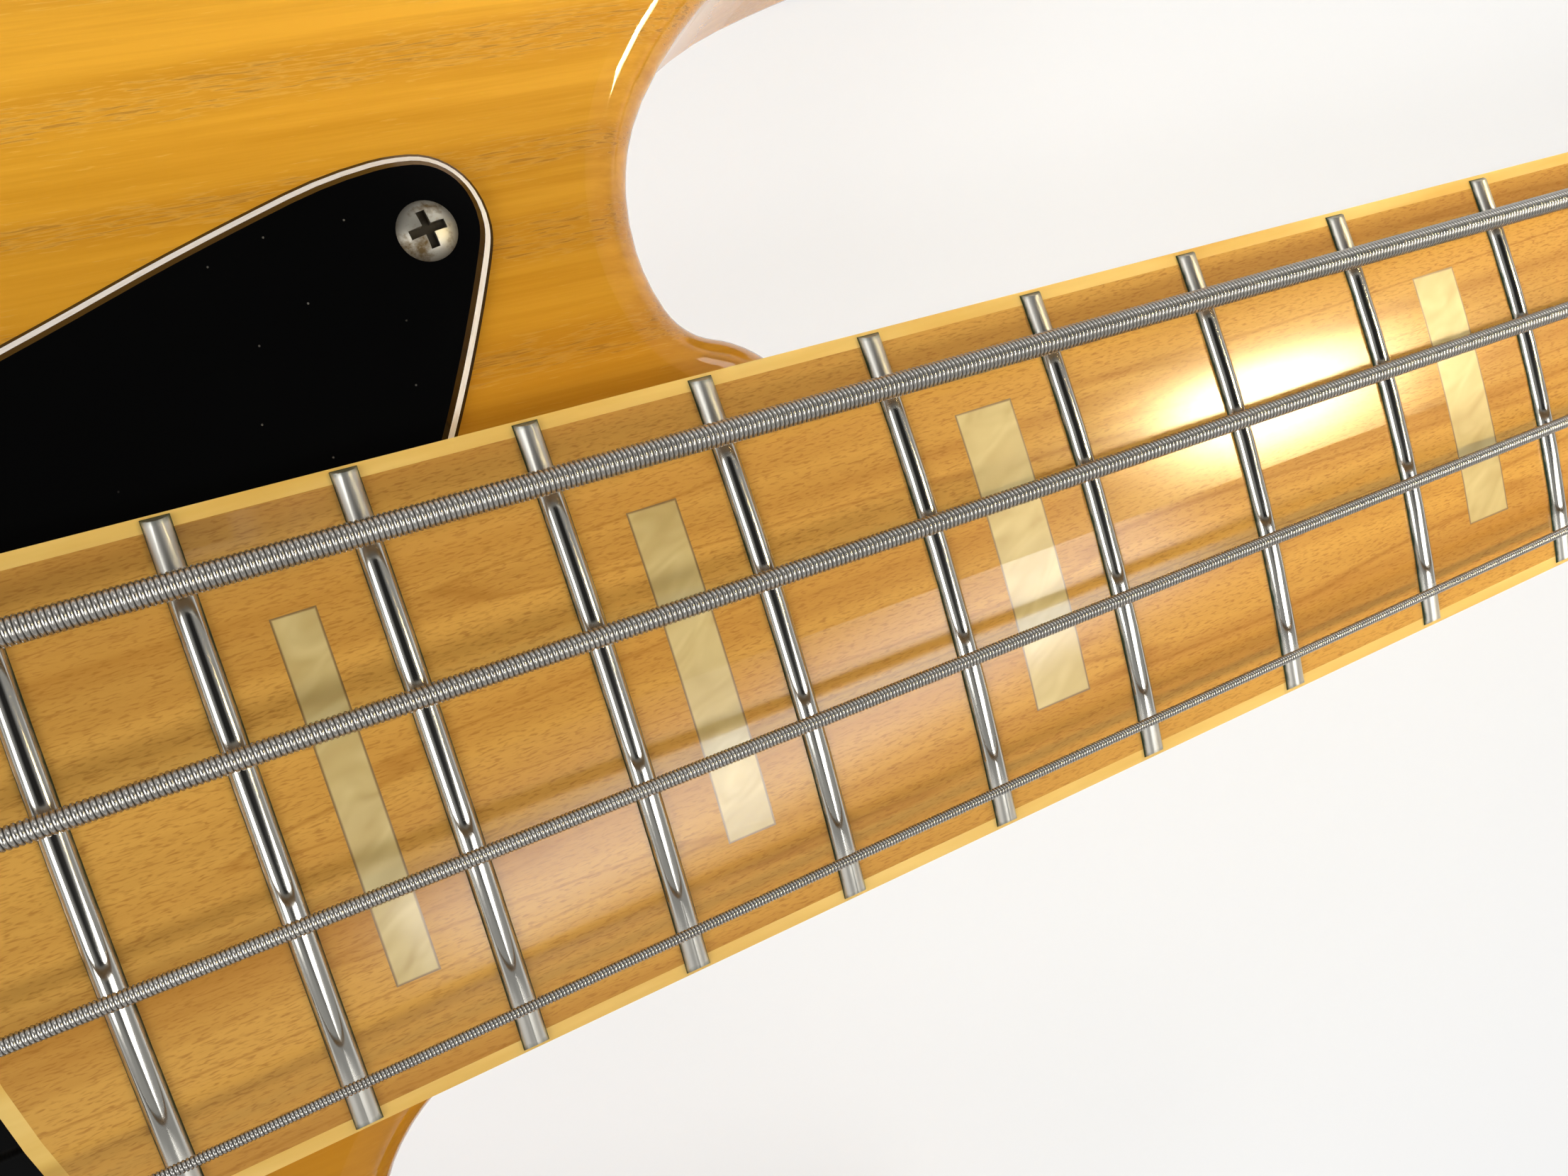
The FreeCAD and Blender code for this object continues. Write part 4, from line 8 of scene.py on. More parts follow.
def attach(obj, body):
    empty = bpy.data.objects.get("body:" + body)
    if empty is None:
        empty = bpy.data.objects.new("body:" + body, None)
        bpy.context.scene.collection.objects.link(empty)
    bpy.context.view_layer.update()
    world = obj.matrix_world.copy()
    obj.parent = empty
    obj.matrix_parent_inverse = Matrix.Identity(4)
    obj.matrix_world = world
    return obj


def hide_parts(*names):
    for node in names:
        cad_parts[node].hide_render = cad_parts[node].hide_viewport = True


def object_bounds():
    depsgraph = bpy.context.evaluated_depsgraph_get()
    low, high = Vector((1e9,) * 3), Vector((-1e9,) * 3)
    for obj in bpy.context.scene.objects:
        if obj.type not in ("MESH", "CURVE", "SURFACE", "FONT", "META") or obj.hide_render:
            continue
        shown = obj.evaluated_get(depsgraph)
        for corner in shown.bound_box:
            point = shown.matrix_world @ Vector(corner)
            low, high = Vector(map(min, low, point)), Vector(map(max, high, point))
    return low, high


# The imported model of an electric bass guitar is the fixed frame. Lengths are in metres unless a name says mm.
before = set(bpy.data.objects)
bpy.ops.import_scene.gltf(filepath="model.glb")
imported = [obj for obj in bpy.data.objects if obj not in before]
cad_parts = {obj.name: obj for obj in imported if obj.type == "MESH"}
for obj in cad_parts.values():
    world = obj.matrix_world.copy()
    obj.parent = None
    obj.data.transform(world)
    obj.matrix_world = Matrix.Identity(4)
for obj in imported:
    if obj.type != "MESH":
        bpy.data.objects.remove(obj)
cad_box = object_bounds()


# Body: a slab of ash with open pores, sawn to outline and rounded over; everything else is screwed to it.
# The pores are filled and an amber lacquer is sprayed and polished, so brown grain shows under a deep gloss.
# A band of painted shade along the middle makes it a little browner than on either side.
def linear(code):
    """sRGB hex as linear RGBA: a channel near black is divided by 12.92, any other is raised to the power 2.4."""
    values = np.array([int(code[i:i + 2], 16) for i in (1, 3, 5)]) / 255
    return (*np.where(values <= 0.04045, values / 12.92, ((values + 0.055) / 1.055) ** 2.4), 1.0)


def wire(tree, target, inputs):
    """Fills a node's sockets: each takes a value, a link from a socket, or a link from a node's first output."""
    for name, source in inputs.items():
        if isinstance(source, bpy.types.Node):
            source = next(socket for socket in source.outputs if socket.enabled)
        if isinstance(source, bpy.types.NodeSocket):
            tree.links.new(source, target.inputs[name])
        else:
            target.inputs[name].default_value = source


def node(tree, kind, inputs, **settings):
    """Adds one shader node with its settings and fills its sockets."""
    made = tree.nodes.new("ShaderNode" + kind)
    for setting, value in settings.items():
        setattr(made, setting, value)
    wire(tree, made, inputs)
    return made


def pattern(tree, kind, place, size, sockets, turn=(0, 0, 0), **settings):
    """A texture stretched so that its features are about a size in metres along each axis, which may be turned."""
    fitted = node(tree, "Mapping", {"Vector": place, "Rotation": turn, "Scale": size}, vector_type="TEXTURE")
    return node(tree, kind, {"Vector": fitted, "Scale": 1.0, **sockets}, **settings)


def ramp(tree, value, start, end=(0.0, 1.0), **settings):
    """Carries a value from one range into another, and holds it at both ends."""
    return node(tree, "MapRange", {
        "Value": value, "From Min": start[0], "From Max": start[1], "To Min": end[0], "To Max": end[1]}, **settings)


def calc(tree, operation, *values):
    """One step of arithmetic on numbers, nodes or sockets."""
    return node(tree, "Math", dict(enumerate(values)), operation=operation)


def blend(tree, share, first, second, mode="MIX"):
    """Mixes two colours, each a hex code or a node, by the share of the second; the colour sockets are 6 and 7."""
    first, second = (linear(colour) if isinstance(colour, str) else colour for colour in (first, second))
    return node(tree, "Mix", {0: share, 6: first, 7: second}, data_type="RGBA", blend_type=mode)


def new_finish(name, sockets):
    """A material with one shader whose sockets are set; its tree, shader and Object coordinates come with it."""
    material = bpy.data.materials.new(name)
    material.use_nodes = True
    tree = material.node_tree
    shader = tree.nodes["Principled BSDF"]
    wire(tree, shader, sockets)
    return material, tree, shader, node(tree, "TexCoord", {}).outputs["Object"]


def dress(material, *names):
    """Gives CAD nodes a finish in all their material slots."""
    for name in names:
        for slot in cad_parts[name].material_slots:
            slot.material = material


# Growth rings about 11 mm apart run almost along the neck, and pores 3 mm long crowd beside each ring
ash_turn = (0, 0, math.radians(-1.5))
ash, tree, shader, place = new_finish("ash_amber_lacquer", {
    "Roughness": 0.6, "Specular IOR Level": 0.0, "Coat Weight": 1.0, "Coat Roughness": 0.04, "Coat IOR": 1.55})
rings = pattern(
    tree, "TexWave", place, (0.4, 0.035, 0.035), {"Distortion": 9.0, "Detail": 2.5, "Detail Scale": 0.9},
    ash_turn, bands_direction="Y")
early = ramp(tree, rings, (0.45, 0.95))
pore_field = pattern(tree, "TexNoise", place, (0.0034, 0.00022, 0.0006), {"Detail": 1.5, "Distortion": 0.5}, ash_turn)
crowded = calc(tree, "MULTIPLY_ADD", early, 0.22, pore_field)
open_pores = ramp(tree, crowded, (0.75, 0.9))
# Painted highlight: a pale rim round each pore stands for light glinting where the lacquer dips into the pore
painted_pore_glints = ramp(tree, crowded, (0.66, 0.78), (0.0, 0.5))
fibre = pattern(tree, "TexNoise", place, (0.07, 0.0021, 0.003), {"Detail": 4.0, "Roughness": 0.7}, ash_turn)
fibre_share = ramp(tree, fibre, (0.4, 0.7), (0.0, 0.7))
tone = pattern(tree, "TexNoise", place, (0.16, 0.045, 0.045), {"Detail": 2.0}, ash_turn)
tone_share = ramp(tree, tone, (0.35, 0.65))
amber = blend(tree, tone_share, "#f7b83b", "#e6a42e")
fibred = blend(tree, fibre_share, amber, "#d29120")
ring_share = calc(tree, "MULTIPLY", early, 0.38)
ringed = blend(tree, ring_share, fibred, "#c98521")
pore_glinted = blend(tree, painted_pore_glints, ringed, "#f8c158")
pore_share = calc(tree, "MULTIPLY", open_pores, 0.55)
grained = blend(tree, pore_share, pore_glinted, "#a46919")

# Painted shade: the middle is darker out to about 60 mm from the centre line, in a soft edge that wanders by some 10
# mm
ash_axis = node(tree, "SeparateXYZ", {"Vector": place})
off_middle = calc(tree, "ABSOLUTE", ash_axis.outputs["Y"])
shade_edge = calc(tree, "MULTIPLY_ADD", tone, 0.02, off_middle)
painted_middle_shade = ramp(tree, shade_edge, (0.056, 0.086), (1.0, 0.0), interpolation_type="SMOOTHSTEP")
middle_shaded = blend(tree, painted_middle_shade, grained, "#d1cbc0", "MULTIPLY")
sunk = node(tree, "Bump", {"Strength": 0.45, "Distance": 0.00015, "Height": open_pores}, invert=True)
wire(tree, shader, {"Base Color": middle_shaded, "Normal": sunk})
dress(ash, "body")


# Neck: one piece of hard maple, shaped round at the back, with a flat headstock; bolted into the body's pocket.
# Aged clear lacquer turns the pale wood honey coloured, and fine flecks show along its grain.
def maple(name, pale, brown, fleck, haze):
    """Maple under lacquer: streaks 6 mm wide and thin ring lines run lengthways, with flecks 1 mm long between."""
    material, tree, shader, place = new_finish(name, {
        "Roughness": 0.6, "Specular IOR Level": 0.0, "Coat Weight": 0.75, "Coat Roughness": haze, "Coat IOR": 1.5})
    streaks = pattern(tree, "TexNoise", place, (0.24, 0.006, 0.014), {"Detail": 3.0, "Roughness": 0.55})
    streak_share = ramp(tree, streaks, (0.42, 0.72), (0.0, 0.75))
    streaked = blend(tree, streak_share, pale, brown)
    line_field = pattern(tree, "TexNoise", place, (0.13, 0.0075, 0.02), {"Detail": 1.0})
    off_line = calc(tree, "SUBTRACT", line_field, 0.5)
    from_line = calc(tree, "ABSOLUTE", off_line)
    line_share = ramp(tree, from_line, (0.0, 0.014), (0.55, 0.0))
    lined = blend(tree, line_share, streaked, brown)
    fleck_field = pattern(tree, "TexNoise", place, (0.0011, 0.0002, 0.0005), {"Detail": 1.0, "Distortion": 0.5})
    fleck_share = ramp(tree, fleck_field, (0.5, 0.72), (0.0, 0.55))
    flecked = blend(tree, fleck_share, lined, fleck)
    rough_field = pattern(tree, "TexNoise", place, (0.0016, 0.0004, 0.001), {"Detail": 1.0})
    ripple = node(tree, "Bump", {"Strength": 0.12, "Distance": 0.00004, "Height": rough_field})
    wire(tree, shader, {"Base Color": flecked, "Normal": ripple})
    return material


dress(maple("maple_neck_lacquer", "#dcac5c", "#bf873c", "#b8813c", 0.08), "neck")

# Fingerboard: a slab of maple glued on the neck, its top arched to a radius, lacquered after fretting.
# It has darkened more than the neck, and its gloss is a little worn where fingers press.
dress(maple("maple_board_lacquer", "#ce9c4a", "#a26c27", "#986226", 0.17), "fingerboard")

# Binding: a strip of cream celluloid, 1.5 mm thick, glued along both edges of the board and round its end.
# Scraped flush and lacquered over, it has yellowed unevenly and lets a little light in.
celluloid, tree, shader, place = new_finish("celluloid_cream", {
    "Roughness": 0.3, "IOR": 1.5, "Subsurface Weight": 0.15, "Subsurface Radius": (0.0012, 0.0008, 0.0004),
    "Coat Weight": 0.5, "Coat Roughness": 0.08})
age = pattern(tree, "TexNoise", place, (0.03, 0.004, 0.003), {"Detail": 4.0})
age_share = ramp(tree, age, (0.35, 0.7))
aged = blend(tree, age_share, "#eac874", "#d8ac4e")
wire(tree, shader, {"Base Color": aged})
dress(celluloid, "fingerboard_binding")

# Position blocks: rectangles of pearloid sheet let into the board and sanded flush.
# Pearl flakes stirred into the celluloid leave silky swirls 3 mm wide, some cream and some tan.
pearl, tree, shader, place = new_finish("pearloid_sheet", {
    "Roughness": 0.28, "IOR": 1.5, "Coat Weight": 0.7, "Coat Roughness": 0.1})
swirl = pattern(tree, "TexNoise", place, (0.007, 0.003, 0.005), {"Detail": 1.0, "Distortion": 1.1}, (0, 0, 0.5))
swirl_share = ramp(tree, swirl, (0.22, 0.78))
swirled = blend(tree, swirl_share, "#b39a5d", "#cfbb80")
flake = pattern(tree, "TexNoise", place, (0.0016, 0.0007, 0.001), {"Detail": 2.0, "Distortion": 1.0})
silk = ramp(tree, flake, (0.3, 0.7), (0.4, 0.28))

# A dark line of painted shade, 0.2 mm wide, stands for a gap inside the rim of each block. A point's distance past the
# rim
# is the larger of two: past the nearest block's sides, and past its ends, which keep a share of the board's half width
# there
nut_half, last_half, nut_station, last_station = 0.01905, 0.0313, 0.9456, 0.354
taper = (last_half - nut_half) / (last_station - nut_station)
block_reach = 0.607
gap_shade_width, gap_shade_fade, far_off = 0.00028, 0.00012, 1.0
block_middles = (0.82979, 0.7482, 0.67552, 0.61077, 0.52664, 0.4559, 0.4151, 0.37876)
block_widths = (0.0125, 0.011, 0.0095, 0.0085, 0.0073, 0.0076, 0.0056, 0.0044)
block_axis = node(tree, "SeparateXYZ", {"Vector": place})
past_side = far_off
for middle, width in zip(block_middles, block_widths):
    off = calc(tree, "SUBTRACT", block_axis.outputs["X"], middle)
    away = calc(tree, "ABSOLUTE", off)
    past = calc(tree, "SUBTRACT", away, width / 2)
    past_side = calc(tree, "MINIMUM", past_side, past)
block_half = calc(
    tree, "MULTIPLY_ADD", block_axis.outputs["X"], block_reach * taper, block_reach * (nut_half - taper * nut_station))
block_side = calc(tree, "ABSOLUTE", block_axis.outputs["Y"])
past_end = calc(tree, "SUBTRACT", block_side, block_half)
past_rim = calc(tree, "MAXIMUM", past_side, past_end)
gap_shade = ramp(tree, past_rim, (-gap_shade_width, -gap_shade_fade), (0.0, 0.8))
gap_shaded = blend(tree, gap_shade, swirled, "#6e4a1f")
wire(tree, shader, {"Base Color": gap_shaded, "Roughness": silk})
dress(pearl, "position_blocks")


# Side dots: short black plastic rods set in the edge of the neck for the player's eye, cut and sanded flush.
# Moulded black plastic is the same stuff as knobs and pickup covers: near black, with a faint even grit.
def black_plastic(name, colour, gloss, grit_mm):
    """Moulded black plastic: polish drifts in patches 20 mm wide, and a bump of fine grit breaks the gloss."""
    material, tree, shader, place = new_finish(name, {"IOR": 1.5})
    patch = pattern(tree, "TexNoise", place, (0.02,) * 3, {"Detail": 4.0})
    polish = ramp(tree, patch, (0.3, 0.7), (gloss, gloss + 0.12))
    dust = ramp(tree, patch, (0.5, 0.8), (0.0, 0.12))
    dusted = blend(tree, dust, colour, "#3a3733")
    grit_size = grit_mm / 1000
    grit = pattern(tree, "TexNoise", place, (grit_size,) * 3, {"Detail": 2.0})
    texture = node(tree, "Bump", {"Strength": 0.15, "Distance": grit_size / 6, "Height": grit})
    wire(tree, shader, {"Base Color": dusted, "Roughness": polish, "Normal": texture})
    return material


moulded_black = black_plastic("plastic_moulded_black", "#0b0b0c", 0.3, 0.25)
dress(moulded_black, "side_dots")

# Frets: nickel-silver wire with a rounded crown, hammered into slots, dressed level and bevelled at the ends.
# Strings keep the crowns bright, while green-black tarnish gathers along the feet and at the bevelled ends.
# Height over the arched board is z plus half of y squared over the arch's radius.
crown_radius, crown_z = 0.18415, 0.0315
nickel_silver, tree, shader, place = new_finish("nickel_silver_worn", {"Metallic": 1.0})
fret_axis = node(tree, "SeparateXYZ", {"Vector": place})
across_squared = calc(tree, "MULTIPLY", fret_axis.outputs["Y"], fret_axis.outputs["Y"])
above_crown = calc(tree, "MULTIPLY_ADD", across_squared, 0.5 / crown_radius, fret_axis.outputs["Z"])
blot = pattern(tree, "TexNoise", place, (0.0012, 0.0025, 0.0012), {"Detail": 4.0, "Roughness": 0.65})
blotted = calc(tree, "MULTIPLY_ADD", blot, 0.0006, above_crown)
foot = ramp(tree, blotted, (crown_z + 0.00045, crown_z + 0.0008), (1.0, 0.0))
board_half = calc(tree, "MULTIPLY_ADD", fret_axis.outputs["X"], taper, nut_half - taper * nut_station)
fret_side = calc(tree, "ABSOLUTE", fret_axis.outputs["Y"])
from_edge = calc(tree, "SUBTRACT", board_half, fret_side)
blotted_edge = calc(tree, "MULTIPLY_ADD", blot, 0.001, from_edge)
bevel = ramp(tree, blotted_edge, (0.0009, 0.0016), (0.8, 0.0))
tarnish = calc(tree, "MAXIMUM", foot, bevel)
tarnished = blend(tree, tarnish, "#c9c6bd", "#3d4e3f")
satin = ramp(tree, from_edge, (0.004, 0.009), (0.36, 0.12))
worn = ramp(tree, tarnish, (0.0, 1.0), (satin, 0.55))
wire(tree, shader, {"Base Color": tarnished, "Roughness": worn})
dress(nickel_silver, "frets")

# Nut: a blank of bleached bone glued across the end of the board, filed to shape and slotted for the strings.
# Polished bone is warm white, with thin darker pores along its length.
bone, tree, shader, place = new_finish("bone_polished", {"Roughness": 0.3, "IOR": 1.54})
bone_field = pattern(tree, "TexNoise", place, (0.0006, 0.006, 0.0006), {"Detail": 3.0})
bone_share = ramp(tree, bone_field, (0.5, 0.75))
bone_tone = blend(tree, bone_share, "#eadfc4", "#d2bf97")
wire(tree, shader, {"Base Color": bone_tone})
dress(bone, "nut")


# Truss rod: a plain steel bar in the neck under the board, whose nut at the body end straightens the neck.
# Bare and plated metals here share one make-up: patches of dulling and fine rubbing marks over a polish.
def metal(name, bright, dull, polish, haze, patch_mm):
    """Metal finish: colour and polish drift from bright to dull in patches, crossed by rubbing marks 20 mm long."""
    material, tree, shader, place = new_finish(name, {"Metallic": 1.0})
    patch = pattern(tree, "TexNoise", place, (patch_mm / 1000,) * 3, {"Detail": 5.0, "Roughness": 0.6})
    patch_share = ramp(tree, patch, (0.42, 0.72))
    toned = blend(tree, patch_share, bright, dull)
    rub = pattern(tree, "TexNoise", place, (0.02, 0.0003, 0.0003), {"Detail": 1.0}, (0.3, 0.2, 0.5))
    rub_share = ramp(tree, rub, (0.55, 0.75), (0.0, 0.35))
    wear = calc(tree, "MAXIMUM", patch_share, rub_share)
    roughness = ramp(tree, wear, (0.0, 1.0), (polish, haze))
    wire(tree, shader, {"Base Color": toned, "Roughness": roughness})
    return material


plain_steel = metal("steel_plain", "#b4b2ad", "#8f8c86", 0.28, 0.45, 6)
dress(plain_steel, "truss_rod")

# Neck plate and screws: a chromed steel plate on the back spreads the pull of four long screws into the neck.
# Chrome mirrors the room with a cool tint and carries fine rubbing marks; the screws are nickel, warmer.
chrome = metal("chrome_polished", "#dfe1e4", "#c6c8ca", 0.05, 0.2, 25)
nickel = metal("nickel_polished", "#cfcabd", "#a9a28f", 0.12, 0.32, 5)
dress(chrome, "neck_plate")
dress(nickel, "neck_screws")

# Pickguard: three sheets of vinyl, black, white and black, glued together, sawn out and bevelled at the edge.
# The top is polished and carries a few specks of dust; on the bevel the white shows as a duller line.
guard_black, tree, shader, place = new_finish("vinyl_polished_black", {"IOR": 1.5})
smear = pattern(tree, "TexNoise", place, (0.03, 0.012, 0.03), {"Detail": 4.0}, (0, 0, 0.9))
guard_polish = ramp(tree, smear, (0.35, 0.7), (0.05, 0.12))
speck_field = pattern(tree, "TexVoronoi", place, (0.008,) * 3, {}, voronoi_dimensions="2D")
speck = ramp(tree, speck_field, (0.006, 0.017), (0.5, 0.0))
speck_chance = ramp(tree, speck_field.outputs["Color"], (0.4, 0.75))
speck_share = calc(tree, "MULTIPLY", speck, speck_chance)
specked = blend(tree, speck_share, "#040404", "#8f8a80")
wire(tree, shader, {"Base Color": specked, "Roughness": guard_polish})
dress(guard_black, "pickguard_top_ply", "pickguard_base_ply")
guard_white, tree, shader, place = new_finish("vinyl_cut_white", {"IOR": 1.5, "Roughness": 0.38})
saw = pattern(tree, "TexNoise", place, (0.002, 0.002, 0.0002), {"Detail": 3.0})
saw_share = ramp(tree, saw, (0.5, 0.8))
sawn = blend(tree, saw_share, "#fdfcf8", "#e6e1d6")
wire(tree, shader, {"Base Color": sawn})
dress(guard_white, "pickguard_core_ply")

# Cover screws: small cross-head screws with domed heads hold the pickguard and the control plate.
# Their nickel plate has gone grey and brown in spots, and they are darker low down, in the cross and round the rim.
face_z = 0.022
tarnished_nickel, tree, shader, place = new_finish("nickel_tarnished", {"Metallic": 1.0})
spot = pattern(tree, "TexNoise", place, (0.0022,) * 3, {"Detail": 5.0, "Roughness": 0.65})
spot_share = ramp(tree, spot, (0.5, 0.68))
spotted = blend(tree, spot_share, "#a8a396", "#6e5a3b")
screw_axis = node(tree, "SeparateXYZ", {"Vector": place})
# Darker towards the bottom: below about 2.2 to 3 mm over the body's face the colour fades to dark brown, in the cross
# and round the rim
low_darkening = ramp(tree, screw_axis.outputs["Z"], (face_z + 0.0022, face_z + 0.003), (0.9, 0.0))
darkened_low = blend(tree, low_darkening, spotted, "#3a3226")
spot_polish = ramp(tree, spot_share, (0.0, 1.0), (0.44, 0.62))
wire(tree, shader, {"Base Color": darkened_low, "Roughness": spot_polish})
dress(tarnished_nickel, "cover_screws")

# Pickups: fibre plates hold eight magnets, wound round with fine copper wire, under a moulded cover on foam.
# The cover is satin black plastic; the magnets' ends are raw cast metal, grey and slightly pitted.
# Inside, the coil is red-brown enamelled copper between dull black fibre, and the foam is grey with open cells.
satin_black = black_plastic("plastic_satin_black", "#0d0d0d", 0.42, 0.18)
dress(satin_black, "neck_pickup_cover", "bridge_pickup_cover")
dress(metal("magnet_cast", "#a9a7a2", "#7e7a73", 0.35, 0.6, 2), "pickup_magnets")
dress(nickel, "pickup_screws")
copper, tree, shader, place = new_finish("copper_enamelled", {"Metallic": 0.8, "Roughness": 0.35})
layers = pattern(tree, "TexWave", place, (0.01, 0.01, 0.0012), {"Distortion": 1.5, "Detail": 2.0}, bands_direction="Z")
coil_tone = blend(tree, layers, "#8a3d1c", "#b5622f")
wire(tree, shader, {"Base Color": coil_tone})
dress(copper, "pickup_coils")
dress(black_plastic("fibre_vulcanised_black", "#141312", 0.55, 0.4), "pickup_flatwork")
foam, tree, shader, place = new_finish("foam_open_grey", {"Roughness": 0.95})
cells = pattern(tree, "TexVoronoi", place, (0.0009,) * 3, {})
cell_tone = blend(tree, cells, "#4b463d", "#7a7466")
hollow = node(tree, "Bump", {"Strength": 0.6, "Distance": 0.0003, "Height": cells})
wire(tree, shader, {"Base Color": cell_tone, "Normal": hollow})
dress(foam, "pickup_foam")

# Controls: a chromed plate carries three potentiometers and the output jack, each held by a nut.
# The knobs are glossy black plastic, which shows bright lines on its ribs.
# Under the plate, dull black cloth-covered leads and a capacitor join them, and the jack has a yellow brass spring.
dress(chrome, "control_plate")
dress(nickel, "control_nuts", "output_jack")
dress(plain_steel, "potentiometers")
dress(metal("brass_spring", "#c8a45e", "#9c7a3c", 0.25, 0.45, 4), "jack_tip_spring")
gloss_black = black_plastic("plastic_gloss_black", "#0a0a0a", 0.14, 0.5)
dress(gloss_black, "volume_knob_neck", "volume_knob_bridge", "tone_knob")
cloth, tree, shader, place = new_finish("cloth_lead_black", {"Roughness": 0.85})
braid = pattern(tree, "TexVoronoi", place, (0.0012,) * 3, {})
braid_tone = blend(tree, braid, "#0d0c0b", "#332f2a")
woven = node(tree, "Bump", {"Strength": 0.4, "Distance": 0.0002, "Height": braid})
wire(tree, shader, {"Base Color": braid_tone, "Normal": woven})
dress(cloth, "wiring")

# Bridge: a bent, chromed steel plate holds four round saddles, each on two height screws and one long screw.
# Springs on the long screws keep the saddles forward. The plate is bright chrome; saddles and screws are duller.
dress(chrome, "bridge_plate")
dress(nickel, "bridge_screws")
saddle_chrome = metal("chrome_on_saddles", "#d3d3d1", "#a5a39c", 0.1, 0.3, 4)
dress(saddle_chrome, "saddle_1", "saddle_2", "saddle_3", "saddle_4")
screw_steel = metal("steel_plated", "#c1bfba", "#94908a", 0.18, 0.4, 3)
dress(screw_steel, "intonation_screw_1", "intonation_screw_2", "intonation_screw_3", "intonation_screw_4")
dress(screw_steel, "intonation_springs")

# Strings: round steel wire wound tight over a steel core, from a ball end behind the bridge to turns on a post.
# Each turn catches the light on its back, and the groove beside it is darkened with painted shade, so a string looks
# finely ribbed.
string_count, retained_strings = 4, (3, 4)
bridge_mm, scale_mm, nut_mm = 82.0, 863.6, 945.6
bridge_spread_mm, nut_spread_mm = 58.5, 27.9
crown_mm, board_radius_mm = 31.5, 184.15
fret_height_mm, nut_rise_mm, bridge_rise_mm = 1.1, 1.5, 5.6
saddle_radius_mm, saddle_groove_mm, saddle_step_mm = 4.5, 0.9, 1.5
anchor_x_mm, anchor_z_mm = 49.65, 27.4
nut_crown_mm = nut_mm + 1.2
retainer_mm, retainer_half_mm, retained_z_mm = 1023.6, 7.0, 28.0
first_post_mm, post_pitch_mm = 990.6, 42.0
post_radius_mm, post_flange_mm, string_gap_mm = 6.65, 23.35, 0.35
turns_on_post, turn_gap_mm = 2, 0.6
saddle_bend_mm, retainer_bend_mm, nut_bend_mm = 0.08, 0.03, 0.02
straight_steps, coil_steps = 16000, 1200
groove_floor = 0.15


def string_y(number, x):
    """Sideways place of string 1 to 4: an even share of a spread that narrows steadily from bridge to nut."""
    spread = bridge_spread_mm + (nut_spread_mm - bridge_spread_mm) * (x - bridge_mm) / scale_mm
    return spread * (0.5 - (number - 1) / (string_count - 1))


def string_z(number, x, radius):
    """Height of a string: the arched board's top there, the fret, and a rise that grows evenly to the bridge."""
    y = string_y(number, bridge_mm + scale_mm / 2)
    top = crown_mm - board_radius_mm + math.sqrt(board_radius_mm ** 2 - y ** 2)
    rise = nut_rise_mm + (bridge_rise_mm - nut_rise_mm) * (nut_mm - x) / scale_mm
    return top + fret_height_mm + rise + radius


def lower_of(first, second, rounding):
    """The lower of two heights, rounded where they cross: their mean less the root of the sum of two squares, of
    half their gap and of the rounding."""
    return (first + second) / 2 - np.sqrt((first - second) ** 2 / 4 + rounding ** 2)


def line_through(x, start, end):
    """Height at x of the straight line through two points of x and height."""
    return start[1] + (end[1] - start[1]) * (x - start[0]) / (end[0] - start[0])


def string_line(number, radius):
    """Centre line in mm: the lowest of three straight lines over saddle and nut, then a falling helix on the post.
    For a string under the retainer, the third is the higher of two lines that meet its underside."""
    crest_x = bridge_mm - saddle_step_mm * (string_count - number)
    wrap = saddle_radius_mm - saddle_groove_mm + string_gap_mm + radius
    rise = string_z(number, crest_x, radius) - wrap - anchor_z_mm
    run = crest_x - anchor_x_mm
    slope = math.tan(math.atan2(rise, run) + math.asin(wrap / math.hypot(rise, run)))
    post_x = first_post_mm + post_pitch_mm * (number - 1)
    climb = 2 * radius + turn_gap_mm
    wind_z = post_flange_mm + string_gap_mm + radius + turns_on_post * climb
    crest = (crest_x, string_z(number, crest_x, radius))
    nut = (nut_crown_mm, string_z(number, nut_mm, radius))
    meet = (post_x, wind_z)
    x = np.linspace(anchor_x_mm, post_x, straight_steps)
    front = lower_of(anchor_z_mm + slope * (x - anchor_x_mm), line_through(x, crest, nut), saddle_bend_mm)
    if number in retained_strings:
        held_z = retained_z_mm - radius
        reach = (retainer_mm - retainer_half_mm, held_z)
        leave = (retainer_mm + retainer_half_mm, held_z)
        behind = -lower_of(-line_through(x, nut, reach), -line_through(x, leave, meet), retainer_bend_mm)
    else:
        behind = line_through(x, nut, meet)
    z = lower_of(front, behind, nut_bend_mm)
    straight = np.stack([x, string_y(number, x), z], 1)
    heading = math.atan((string_y(number, nut_mm) - string_y(number, bridge_mm)) / scale_mm)
    wind = post_radius_mm + radius
    turn = np.linspace(0, 2 * math.pi * turns_on_post, coil_steps)[1:]
    centre = straight[-1] + wind * np.array([-math.sin(heading), math.cos(heading), 0])
    angle = heading - math.pi / 2 + turn
    coil = centre + np.stack([wind * np.cos(angle), wind * np.sin(angle), -climb * turn / (2 * math.pi)], 1)
    last = coil[-1] + (coil[-1] - coil[-2]) / np.linalg.norm(coil[-1] - coil[-2]) * radius * 2
    return np.vstack([straight, coil, last])


